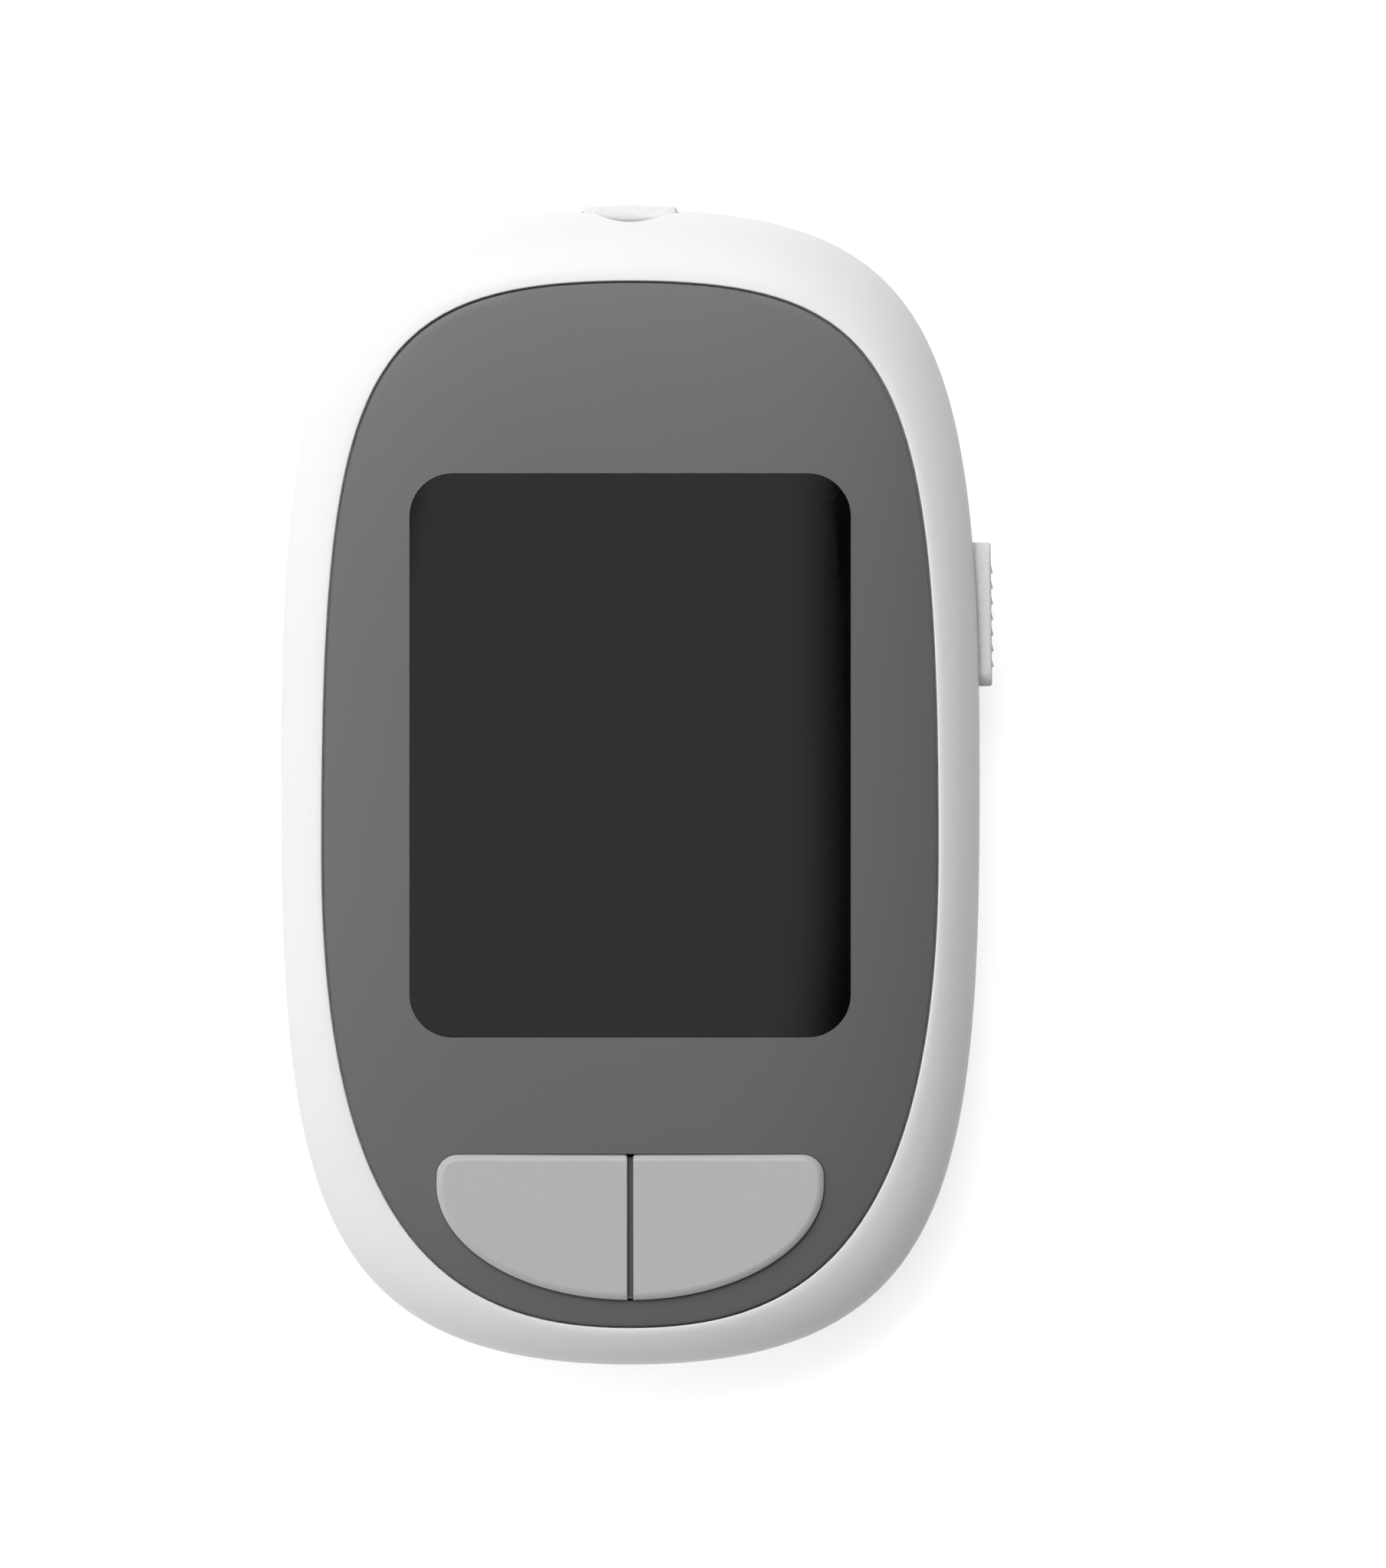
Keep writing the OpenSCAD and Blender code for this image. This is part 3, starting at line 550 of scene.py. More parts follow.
outer_back = back_turn(back_inset, 0, back_steps)
rear_section = (
    outer_back
    + [(0, 0, seam_z - 1.3), (0, 0, seam_z - seam_fillet)]
    + [(0, inset, z) for inset, z in arc((seam_fillet, seam_z - seam_fillet), seam_fillet, 180, 90, 3)][1:]
    + [(0, wall / 2, seam_z), (0, wall / 2, rear_high.z), (0, wall, rear_high.z)]
    + [(0, wall + p[1] * 0.5, p[2]) for p in reversed(back_turn(back_inset, floor_t, 6))]
)
rear = shell("rear_shell", rear_section, case_white)
close_ends(rear)

door_low, door_high = node_box("battery_door")
door_taper = 0.6
shelf_z = (door_high.z + clear, 2.6)
cell_low, cell_high = node_box("right_cell")
cell_r = (cell_high.x - cell_low.x) / 2
cell_x = (cell_high.x + cell_low.x) / 2
cell_y = (cell_high.y + cell_low.y) / 2
cell_places = [(-cell_x, cell_y), (cell_x, cell_y)]
bay_r = cell_r + 0.3
bay_wall = 1.1
bay_top = 5.6
head_r = 1.75
head_z = 2.8
well_r = head_r + 0.2
label_low, label_high = node_box("rear_label")
label_r = 1.5
contact_half_w = 2
board_z = node_box("main_board")[0].z


def door_prism(out, inner_y):
    """The door's dovetail, grown by out and run along the meter past its bottom end."""
    inner = door_high.x + out
    outer = inner - door_taper
    low, high = door_low.z - 5 * out, door_high.z + out
    section = [(-outer, low), (outer, low), (inner, high), (-inner, high)]
    return stack([[(x, y, z) for x, z in section] for y in (inner_y, rear_low.y - 5)])


shelf = [p for p in egg(case_outline, 1.5) if p[1] <= door_high.y + 1.2]
bay_x = cell_x + bay_r + bay_wall
combine(rear, "UNION", solid(
    "rear case inside",
    prism(shelf, *shelf_z),
    block((-bay_x, bay_x), (cell_y - bay_r - 1.6, cell_y + bay_r + bay_wall), (shelf_z[0], bay_top + 0.9)),
    *[rod(p, post_r, floor_t / 2, board_z) for p in screw_places],
    block(pad_x, pad_y, (pad_z[0], seam_z)),
))
combine(rear, "DIFFERENCE", solid(
    "rear case openings",
    door_prism(clear, door_high.y + clear),
    *[rod(p, bay_r, shelf_z[0] - 1, bay_top) for p in cell_places],
    *[block((x - contact_half_w - 0.2, x + contact_half_w + 0.2), (cell_low.y - 0.9, cell_low.y + 0.4),
            (cell_low.z, bay_top + 2)) for x, _ in cell_places],
    *[turned([(screw_r + 0.15, 0), (screw_r + 0.15, board_z + 2)], p) for p in screw_places],
    *[turned(flared((well_r, head_z), 0, 0.2), p) for p in screw_places],
    slider_pocket(),
    block((pad_x[0] - 0.2, pad_x[1] + 2), (pad_y[0] - 0.2, pad_y[1] + 0.2), (seam_z, seam_z + 2)),
    *mouth_hole(),
    prism(rounded((label_low.x - clear, label_high.x + clear), (label_low.y - clear, label_high.y + clear),
                  label_r), -1, label_high.z),
))
finish(rear, case_white)
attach(rear, "housing")
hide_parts("rear_case")

# -------------------------------------------------------------------------------------------- battery door
# A flat white ABS door that slides off the bottom end in a dovetail, 26 mm to bare both cells. Five moulded
# grooves near the end give the thumb a hold. Its outer face follows the turn of the rear case.
groove_pitch = 1.4
groove_y = -34
groove_count = 5
groove_size = (12, 0.5)
groove_depth = 0.4


def rows():
    """Tree that sets out copies of a pattern in a row, with a step between them."""
    tree, given = new_tree("row of copies", {
        "Pattern": "Object", "Count": "Int", "First": "Vector", "Step": "Vector", "Finish": "Material",
    })
    line = add(tree, "GeometryNodeMeshLine",
               {"Count": given["Count"], "Start Location": given["First"], "Offset": given["Step"]})
    pattern = add(tree, "GeometryNodeObjectInfo", {"Object": given["Pattern"]}).outputs["Geometry"]
    copies = add(tree, "GeometryNodeInstanceOnPoints", {"Points": line.outputs[0], "Instance": pattern})
    close_tree(tree, copies.outputs[0], given["Finish"])
    return tree


row_of = rows()


def row(name, pattern, count, first, step, finish_material):
    """Copies of a pattern object, which is used up: the first place and the step are in mm."""
    made = grow(name, row_of, {
        "Pattern": pattern, "Count": count, "Finish": finish_material,
        "First": Vector(first) * mm, "Step": Vector(step) * mm,
    })
    bpy.data.objects.remove(pattern)
    return made


door = shell("battery_door_panel", outer_back + [(0, 0, back_turn_z + 1)], case_white)
close_ends(door)
combine(door, "INTERSECT", solid("door dovetail", door_prism(0, door_high.y)))
half_w, half_h = groove_size[0] / 2, groove_size[1] / 2
groove_end = arc((half_w - half_h, 0), half_h, -90, 90, 8)
groove_outline = groove_end + [(-x, -y) for x, y in groove_end]
groove_flare = 0.12
groove = stack([
    [(x * (1 + s / half_w), y * (1 + s / half_h), z) for x, y in groove_outline]
    for s, z in ((groove_flare + 1, -1), (0, groove_flare), (0, groove_depth))
])
combine(door, "DIFFERENCE", row(
    "door grooves", solid("door groove", groove), groove_count,
    (0, groove_y - groove_pitch * (groove_count - 1) / 2, door_low.z), (0, groove_pitch, 0), case_white))
finish(door, case_white)
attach(door, "battery_door")
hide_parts("battery_door")

# -------------------------------------------------------------------------------------------- rear label
# A blank label of satin polyester film, printed pale grey. It is cut out with round corners and stuck in a
# shallow recess in the back.
label = solid("rear_label_film", stack([
    lifted(rounded((label_low.x + inset, label_high.x - inset), (label_low.y + inset, label_high.y - inset),
                   label_r - inset), z)
    for inset, z in ((0.04, label_low.z), (0, label_low.z + 0.04), (0, label_high.z))
]))

# Satin polyester film: a slight pearl in pale grey, with the faint long waves of a film that was rolled.
label_film, tree, where = new_material("polyester label film, satin")
stretch = add(tree, "ShaderNodeMapping", {0: where, "Scale": (1, 0.15, 1)}).outputs[0]
waves = add(tree, "ShaderNodeTexNoise", {"Vector": stretch, "Scale": 1 / (4 * mm)}).outputs["Fac"]
specks = add(tree, "ShaderNodeTexNoise", {"Vector": where, "Scale": 1 / (0.08 * mm)}).outputs["Fac"]
dress(tree, specks, "#D4D6D8", "#CDCFD1", 0.34, bump=(waves, 0.02), IOR=1.6)
finish(label, label_film)
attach(label, "housing")
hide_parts("rear_label")

# --------------------------------------------------------------------------------------------- case screws
# Four steel pan-head screws with a cross recess. They sit in the wells of the back, pull on the rear case
# and cut their thread in the bosses of the front case. No two stopped at the same turn.
screw_low, screw_high = node_box("case_screws")
cross_half_w, cross_reach, cross_depth = 0.22, 1.0, 0.75
screw = solid("screw", turned([
    (head_r - 0.35, screw_low.z), (head_r - 0.12, screw_low.z + 0.09), (head_r, screw_low.z + 0.35),
    (head_r, head_z), (screw_r, head_z), (screw_r, screw_high.z - 0.8), (0.35, screw_high.z)], steps=32))
cross = [
    stack([[(x * (a if turn else b), y * (b if turn else a), z)
            for x, y in ((-1, -1), (1, -1), (1, 1), (-1, 1))]
           for a, b, z in ((cross_half_w, cross_reach, screw_low.z - 0.1),
                           (cross_half_w * 0.6, cross_reach * 0.35, screw_low.z + cross_depth))])
    for turn in (True, False)
]
combine(screw, "DIFFERENCE", solid("screw cross", *cross))


def set_out():
    """Tree that sets a copy of a pattern on each point, each turned at random about the upright."""
    tree, given = new_tree("copies on places", {
        "Places": "Geometry", "Pattern": "Object", "Seed": "Int", "Finish": "Material",
    })
    pattern = add(tree, "GeometryNodeObjectInfo", {"Object": given["Pattern"]}).outputs["Geometry"]
    turn = add(tree, "FunctionNodeRandomValue", {3: math.tau, "Seed": given["Seed"]}, data_type="FLOAT")
    spin = add(tree, "ShaderNodeCombineXYZ", {"Z": turn.outputs[1]}).outputs[0]
    points = add(tree, "GeometryNodeMeshToPoints", {0: given["Places"]}).outputs[0]
    copies = add(tree, "GeometryNodeInstanceOnPoints",
                 {"Points": points, "Instance": pattern, "Rotation": spin})
    close_tree(tree, copies.outputs[0], given["Finish"])
    return tree


# Zinc-plated steel: bright and a little blue, blurred by the plating, with fine rings from turning.
zinc_steel, tree, where = new_material("zinc-plated steel")
plating = add(tree, "ShaderNodeTexNoise", {
    "Vector": where, "Scale": 1 / (0.25 * mm), "Detail": 3.0}).outputs["Fac"]
dress(tree, plating, "#C9CCCF", "#B4B7BA", (0.24, 0.36), bump=(plating, 0.002), Metallic=1.0)

screws = grow("cross_head_screws", set_out(), {"Pattern": screw, "Seed": 7, "Finish": zinc_steel},
              points=[(x, y, 0) for x, y in screw_places])
bpy.data.objects.remove(screw)
finish(screws, zinc_steel, sharp=40)
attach(screws, "housing")
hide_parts("case_screws")

# --------------------------------------------------------------------------------------------- coin cells
# Two 20 mm lithium coin cells, side by side behind the door. Each is a pressed nickel-plated steel can,
# rolled in over a black seal ring round the smaller negative cap, which faces the board.
can_h = 2.6
cell_profile = (
    [(cell_r - 0.55, cell_low.z)]
    + [(cell_r - 0.35 + 0.35 * math.sin(t), cell_low.z + 0.35 * (1 - math.cos(t)))
       for t in (math.radians(30 + 60 * i / 4) for i in range(5))]
    + [(cell_r - 0.3 + 0.3 * math.cos(t), cell_low.z + can_h - 0.3 + 0.3 * math.sin(t))
       for t in (math.radians(90 * i / 4) for i in range(5))]
    + [(cell_r - 0.95, cell_low.z + can_h), (cell_r - 1.05, cell_low.z + can_h - 0.12),
       (cell_r - 1.2, cell_low.z + can_h - 0.12), (cell_r - 1.25, cell_low.z + can_h + 0.35),
       (cell_r - 1.5, cell_high.z)]
)

# Nickel-plated steel, drawn and polished: warm bright metal with a fine scratch grain all one way.
nickel, tree, where = new_material("nickel-plated steel, polished")
drawn_out = add(tree, "ShaderNodeMapping", {0: where, "Scale": (1, 0.03, 1)}).outputs[0]
scratches = add(tree, "ShaderNodeTexNoise", {
    "Vector": drawn_out, "Scale": 1 / (0.12 * mm), "Detail": 4.0, "Roughness": 0.7}).outputs["Fac"]
handled = add(tree, "ShaderNodeTexNoise", {
    "Vector": where, "Scale": 1 / (6 * mm), "Detail": 3.0}).outputs["Fac"]
dress(tree, handled, "#CFCBC4", "#BDB9B2", (0.16, 0.3), bump=(scratches, 0.0015), Metallic=1.0)

for side, spot in zip(("left", "right"), cell_places):
    cell = solid(side + "_coin_cell", turned(cell_profile, spot, steps=96))
    finish(cell, nickel, sharp=25)
    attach(cell, "housing")
    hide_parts(side + "_cell")

# Gold-plated phosphor bronze: the clips that hold each cell's rim, the leaves on its cap, and the fingers
# of the strip connector. Thin, springy and bright, and plated against the damp of a bathroom shelf.
gold_plate, tree, where = new_material("gold-plated bronze")
one_way = add(tree, "ShaderNodeMapping", {0: where, "Scale": (1, 1, 0.1)}).outputs[0]
rolled_grain = add(tree, "ShaderNodeTexNoise", {"Vector": one_way, "Scale": 1 / (0.2 * mm)}).outputs["Fac"]
dress(tree, rolled_grain, "#E6BE6A", "#D3A650", (0.18, 0.3), Metallic=1.0)


def repaint(material, *nodes):
    """Gives CAD nodes whose shape is right their finish."""
    for node in nodes:
        data = frame["nodes"][node].data
        data.materials.clear()
        data.materials.append(material)


repaint(gold_plate, "positive_contacts", "negative_contacts", "strip_contacts")

# --------------------------------------------------------------------------------------------- face plate
# A 1.3 mm dark grey moulding, crowned by a millimetre, that drops into the rim on a ring of adhesive. It
# frames the window and both keys. A gap of 0.15 mm runs all round it and shows as a thin dark line.
plate_gap = 0.15
plate_edge_r = 0.08
plate_crown = 1
crown_power = 4
plate_wide_y = face_outline[1]
lens_sink = 0.04
edge_z = lens_high.z + lens_sink - plate_crown
key_room = 0.05
even_band = 0.5
mesh_pitch = 0.8

reach_points = np.array(egg(face_outline, plate_gap + plate_edge_r)) - (0, plate_wide_y)
reach_angle = np.arctan2(reach_points[:, 1], reach_points[:, 0])
reach_order = np.argsort(reach_angle)
reach_angle = reach_angle[reach_order]
reach = np.hypot(*reach_points.T)[reach_order]


def dome(x, y, sink=0.0):
    """Height of the crowned face at a place, by its share of the way from the middle to the edge."""
    angle = math.atan2(y - plate_wide_y, x)
    share = math.hypot(x, y - plate_wide_y) / np.interp(angle, reach_angle, reach, period=math.tau)
    return edge_z - sink + plate_crown * (1 - share ** crown_power)


def finely(loop, pitch=mesh_pitch):
    """The loop with points added so that none of its sides is longer than pitch."""
    points = []
    for a, b in zip(loop, loop[1:] + loop[:1]):
        cuts = max(1, math.ceil(math.dist(a, b) / pitch))
        points += [(a[0] + (b[0] - a[0]) * i / cuts, a[1] + (b[1] - a[1]) * i / cuts) for i in range(cuts)]
    return points


def spread(loop, out):
    """An anticlockwise loop moved out by a distance along its own normals."""
    p = np.array(loop)
    side = np.roll(p, -1, axis=0) - p
    normal = np.stack([side[:, 1], -side[:, 0]], axis=1) / np.hypot(*side.T)[:, None]
    before = np.roll(normal, 1, axis=0)
    turn = 1 + (normal * before).sum(axis=1)
    return [tuple(q) for q in p + out * (normal + before) / turn[:, None]]


def inside(points, loop):
    """Which of the points lie within a loop."""
    x, y = np.array(points).T
    hit = np.zeros(len(x), bool)
    for (ax, ay), (bx, by) in zip(loop, loop[1:] + loop[:1]):
        if ay != by:
            hit ^= ((ay > y) != (by > y)) & (x < (bx - ax) * (y - ay) / (by - ay) + ax)
    return hit


def web(loops, pitch=None):
    """Points and triangles of a flat web inside the first loop and outside the others."""
    row_share = 0.866
    least_share = 0.6
    points = [p for loop in loops for p in loop]
    starts = np.cumsum([0] + [len(loop) for loop in loops])
    edges = [(s + i, s + (i + 1) % len(loop)) for s, loop in zip(starts, loops) for i in range(len(loop))]
    if pitch:
        edge_points = np.array(points)
        low, high = edge_points.min(axis=0), edge_points.max(axis=0)
        lattice = [(low[0] + pitch * (i + 0.5 * (j % 2)), low[1] + row_share * pitch * j)
                   for j in range(int((high[1] - low[1]) / pitch / row_share) + 1)
                   for i in range(int((high[0] - low[0]) / pitch) + 1)]
        kept = inside(lattice, loops[0])
        for hole in loops[1:]:
            kept &= ~inside(lattice, hole)
        far = [np.hypot(*(edge_points - p).T).min() > least_share * pitch for p in lattice]
        points = points + [p for p, k, f in zip(lattice, kept, far) if k and f]
    made = geometry.delaunay_2d_cdt([Vector(p) for p in points], edges, [], 0, 1e-6)
    spots = [tuple(p) for p in made[0]]
    middles = [np.mean([spots[i] for i in face], axis=0) for face in made[2]]
    kept = inside(middles, loops[0])
    for hole in loops[1:]:
        kept &= ~inside(middles, hole)
    return spots, [tuple(face) for face, k in zip(made[2], kept) if k]


def crowned(loops, edge_rs, top, bottom):
    """A closed plate under the surface top(x, y), through which the loops cut.

    The first loop is the plate's outside, and the others are openings. Each has its own radius for the upper
    edge, which stays sharp where that is 0. A band of even faces runs along every edge, so that the shading
    stays smooth there.
    """
    ways = [-1] + [1] * (len(loops) - 1)
    drawn = [spread(loop, way * r) for loop, way, r in zip(loops, ways, edge_rs)]
    spots, faces = web([spread(loop, way * (r + even_band)) for loop, way, r in zip(loops, ways, edge_rs)],
                       mesh_pitch)
    points = [(x, y, top(x, y)) for x, y in spots]
    lowest = []
    start = 0
    for upper, wall_loop, radius in zip(drawn, loops, edge_rs):
        n = len(upper)
        last = list(range(start, start + n))
        for angle in ((0, 30, 60, 90, None) if radius else (0, None)):
            first = len(points)
            for (ux, uy), (wx, wy) in zip(upper, wall_loop):
                s = 1 if angle is None else math.sin(math.radians(angle))
                drop = 0 if angle is None else radius * (1 - math.cos(math.radians(angle)))
                z = bottom if angle is None else top(ux, uy) - drop
                points.append((ux + (wx - ux) * s, uy + (wy - uy) * s, z))
            ring = list(range(first, first + n))
            faces += [(last[i], last[(i + 1) % n], ring[(i + 1) % n], ring[i]) for i in range(n)]
            last = ring
        lowest += last
        start += n
    under = web(loops)[1]
    faces += [tuple(lowest[i] for i in face) for face in under]
    return points, faces


window_opening = rounded((lens_low.x - 0.1, lens_high.x + 0.1), (lens_low.y - 0.1, lens_high.y + 0.1),
                         lens_r, steps=12)
plate = solid("face_plate_domed", crowned(
    [egg(face_outline, plate_gap), finely(window_opening), finely(keys_outline(key_room))],
    [plate_edge_r, 0, 0], dome, deck_z))

# Dark grey ABS with a satin face: an even, slightly soft sheen that grades slowly over the dome.
plate_grey = moulded("dark grey ABS, satin", "#616161", "#5F5F5F", grain=0.1, depth=0.001,
                     gloss=(0.38, 0.46), cloud=7.0)
finish(plate, plate_grey)
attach(plate, "housing")
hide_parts("face_plate")

# ----------------------------------------------------------------------------------------- display window
# The window is smoked acrylic, printed black behind, and hard-coated against scratches. It lies flush in
# the plate, follows its crown and is stuck to the deck by a ring of black foam.
lens_room = 0.05


def lens_face(x, y):
    return dome(x, y, lens_sink)


lens = solid("display_window", crowned(
    [finely(spread(window_opening, -lens_room))], [0], lens_face, lens_low.z))

# Hard-coated black acrylic: a deep black with a clear mirror on top, dulled a very little by handling.
window_black, tree, where = new_material("smoked acrylic, hard-coated")
haze = add(tree, "ShaderNodeTexNoise", {"Vector": where, "Scale": 1 / (14 * mm)}).outputs["Fac"]
wiped = add(tree, "ShaderNodeTexNoise", {
    "Vector": where, "Scale": 1 / (5 * mm), "Detail": 4.0}).outputs["Fac"]
smears = add(tree, "ShaderNodeMapRange", {0: wiped, 1: 0.35, 2: 0.65, 3: 0.03, 4: 0.06}).outputs[0]
dress(tree, haze, "#080A0A", "#060707", smears, IOR=1.49)
finish(lens, window_black)
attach(lens, "housing")
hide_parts("display_lens")

# -------------------------------------------------------------------------------------------------- keys
# Two light grey ABS keys share one rounded outline, split down the middle by a gap of half a millimetre.
# Each has a flat top, a rounded edge on its outer sides, a flange under the plate that stops it from
# falling out, and a plunger over its snap dome. They travel half a millimetre.
keys_gap = 0.46
keys_low, keys_high = node_box("right_button")
key_flange = 0.8
key_flange_z = (12.3, deck_z - 0.05)
plunger_r = 1.4
plunger_place = (7, -32.6)
key_edge_r = 0.8
key_edge_turn = 45
key_edge_centre = (-key_edge_r * math.sin(math.radians(key_edge_turn)), keys_high.z - key_edge_r)
key_levels = (
    [(key_flange, key_flange_z[0]), (key_flange, key_flange_z[1]), (0, key_flange_z[1])]
    + arc(key_edge_centre, key_edge_r, 90 - key_edge_turn, 90, 6)
)


def key_loop(out, z):
    """One key's outline, grown by out on its outer sides; the side along the gap stays straight."""
    a, b, r = keys_half_w + out, keys_wide_y - keys_bottom_y + out, keys_corner_r + out
    top, inner = keys_top_y + out, keys_gap / 2
    soft = 0.05 if z > keys_high.z - 0.02 else 0
    start = math.acos((inner + soft) / a)
    bowl = [(a * math.cos(t), keys_wide_y + b * math.sin(t))
            for t in (-start * (1 - i / 40) for i in range(41))]
    shoulder = arc((a - r, top - r), r, 0, 90, 10)[1:]
    return lifted(bowl + shoulder + [(inner + 0.15, top), (inner + soft, top - 0.15)], z)


# Light grey ABS, satin from a fine mould texture: flat tops read as one even grey.
key_grey = moulded("light grey ABS, satin", "#BABABA", "#B7B7B7", grain=0.1, depth=0.0008,
                   gloss=(0.4, 0.48))
for side in (-1, 1):
    name = "right" if side > 0 else "left"
    levels = [[(side * x, y, z) for x, y, z in key_loop(out, z)] for out, z in key_levels]
    key = solid(name + "_key", stack(levels))
    combine(key, "UNION", solid("plunger", turned(
        [(plunger_r - 0.2, keys_low.z), (plunger_r, keys_low.z + 0.2), (plunger_r, key_flange_z[0] + 0.5)],
        (side * plunger_place[0], plunger_place[1]))))
    finish(key, key_grey, sharp=38)
    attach(key, name + "_button")
    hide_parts(name + "_button")

# The carrier under the keys is a dark grey moulding with a coarse grain. It stands on the board, guides both
# plungers, and a thin rib of it fills the gap between the keys, so that no light or dust falls through.
carrier_grey = moulded("dark grey ABS, coarse grain", "#5E5E5E", "#4E4E4E", grain=0.14, depth=0.02,
                       gloss=(0.55, 0.7), cloud=0.3)
repaint(carrier_grey, "button_carrier")

# ---------------------------------------------------------------------------------------------- strip port
# The mouth piece is a separate moulding with a coarse spark-eroded grain. It slips into the end wall from
# inside and its flange holds it there. The slot flares at the front so that a test strip finds its way in,
# and a thumb scoop in the case above it bares the strip's end.
slot_half_w, slot_half_h, slot_z = 2.9, 0.4, 9.05
slot_flare = 0.5
mouth_edge_r = 0.25
nose_r = 0.95
nose_from, nose_to = 60, 150
mouth_steps = 14
flange_edge_y = case_outline[2] - wall - 0.35
end_drop = case_outline[2] - max(y for x, y in egg(case_outline) if abs(x) >= mouth_half_w)


def mouth_slice(x):
    """A slice of the mouth piece across the meter: its end follows the curve of the case's end."""
    side = max(0.0, abs(x) - (mouth_half_w - mouth_edge_r)) / mouth_edge_r
    soft = mouth_edge_r * (1 - math.sqrt(max(0.0, 1 - side * side)))
    end = mouth_high.y - end_drop * (x / mouth_half_w) ** 2 - soft
    low, high = mouth_z[0] + soft, mouth_z[1] - soft
    r = mouth_edge_r
    tip = arc((0, 0), r, 0, nose_from, 3)
    nose = arc((0, 0), nose_r, nose_from, nose_to, 9)
    nose = [(end - r + tip[-1][0] - nose[0][0] + y, high - nose_r + z) for y, z in nose]
    tip = [(end - r + y, nose[0][1] - tip[-1][1] + z) for y, z in tip[:-1]]
    return ([(x, y, z) for y, z in [(mouth_low.y, low)] + arc((end - r, low + r), r, -90, 0, 4)
             + tip + nose + [(mouth_low.y, nose[-1][1])]])


def slice_places():
    """Where the slices lie: even over the middle, and close together over the rounded sides."""
    inner = mouth_half_w - mouth_edge_r
    edge = [inner + mouth_edge_r * math.sin(math.radians(a)) for a in (25, 50, 75, 90)]
    middle = [-inner + 2 * inner * i / mouth_steps for i in range(mouth_steps + 1)]
    return [-x for x in reversed(edge)] + middle + edge


mouth = solid("strip_mouth_piece", stack([mouth_slice(x) for x in slice_places()]))
combine(mouth, "UNION", solid("mouth flange", block(
    (mouth_low.x, mouth_high.x), (mouth_low.y, flange_edge_y), (mouth_low.z, mouth_high.z))))
slot_levels = [
    [(x, y, z) for x, z in rounded((-slot_half_w - out, slot_half_w + out),
                                   (slot_z - slot_half_h - out, slot_z + slot_half_h + out),
                                   0.15 + out, steps=4)]
    for out, y in ((0, mouth_low.y - 1), (0, mouth_high.y - 1.3), (0.12, mouth_high.y - 0.7),
                   (slot_flare, mouth_high.y), (slot_flare + 0.3, mouth_high.y + 0.5))
]
combine(mouth, "DIFFERENCE", solid("strip slot", stack(slot_levels)))

# The case's white ABS, but with the coarse grain of a rough-eroded mould, which is a real bump. The close
# speckle of a pale and a darker shade, 0.2 mm across, is painted light and shade of the pits. Its darker
# shade is painted shade, which makes it look a little greyer than the case.
grain_and_painted_pit_shade = moulded("white ABS, coarse grain, painted pit shade", "#F3F3F2", "#DEDEDD", grain=0.14, depth=0.035,
                       gloss=(0.5, 0.65), cloud=0.2)
finish(mouth, grain_and_painted_pit_shade, sharp=35)
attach(mouth, "housing")
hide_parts("strip_port_insert")

# ------------------------------------------------------------------------------------------ ejector slider
# The slider is moulded in the mouth piece's ABS and rides in a pocket of the side wall. Its outer face leans
# in a little towards the port and has seven saw-tooth ribs for the thumb. Its upper end is sloped off, its
# lower end is rounded, and a stem through the wall is fixed to the steel arm inside.
slider_inner_x = pocket_x + 0.15
rib_h = 0.13
rib_pitch = 1.163
rib_count = 7
first_rib = 2.3
slider_lean = 0.11
slider_base_x = 26.92
end_slope = (1.25, 0.35)
end_round = 1.05
slider_edge_r = 0.2
slider_len = slider_high.y - slider_low.y
slider_z = (slider_low.z + slider_high.z) / 2
slider_half_h = (slider_high.z - slider_low.z) / 2


def slider_face(y):
    """How far out the slider's leaning face is, at a place along it."""
    return slider_base_x - slider_lean * (y - slider_low.y) / slider_len


def slider_slice(y):
    """A slice across the slider: it is lower over the rounded end and over the sloped end."""
    r = slider_edge_r
    low, high = y - slider_low.y, slider_high.y - y
    half = slider_half_h - end_slope[1] * max(0.0, 1 - high / end_slope[0])
    half -= end_round - math.sqrt(end_round ** 2 - max(0.0, end_round - low) ** 2)
    drawn = r - math.sqrt(r * r - max(0.0, r - low, r - high) ** 2)
    x = slider_face(y) - drawn
    half -= drawn if high < r else 0
    corner = [(x - r + dx, half - r + dz) for dx, dz in arc((0, 0), r, 0, 90, 5)]
    side = [(cx, -cz) for cx, cz in reversed(corner)] + corner
    return [(px, y, slider_z + pz) for px, pz in side + [(slider_inner_x, half), (slider_inner_x, -half)]]


lower_end = [1 - math.cos(math.radians(90 * i / 12)) for i in range(13)]
upper_end = [1 - math.cos(math.radians(90 * i / 5)) for i in range(6)]
slices = ([slider_slice(slider_low.y + end_round * t) for t in lower_end]
          + [slider_slice(slider_high.y - end_slope[0])]
          + [slider_slice(slider_high.y - slider_edge_r * t) for t in reversed(upper_end)])
slider = solid("ejector_slider_grip", stack(slices))
combine(slider, "UNION", solid("slider stem", block((slider_low.x, slider_inner_x + 0.5), stem_y, stem_z)))

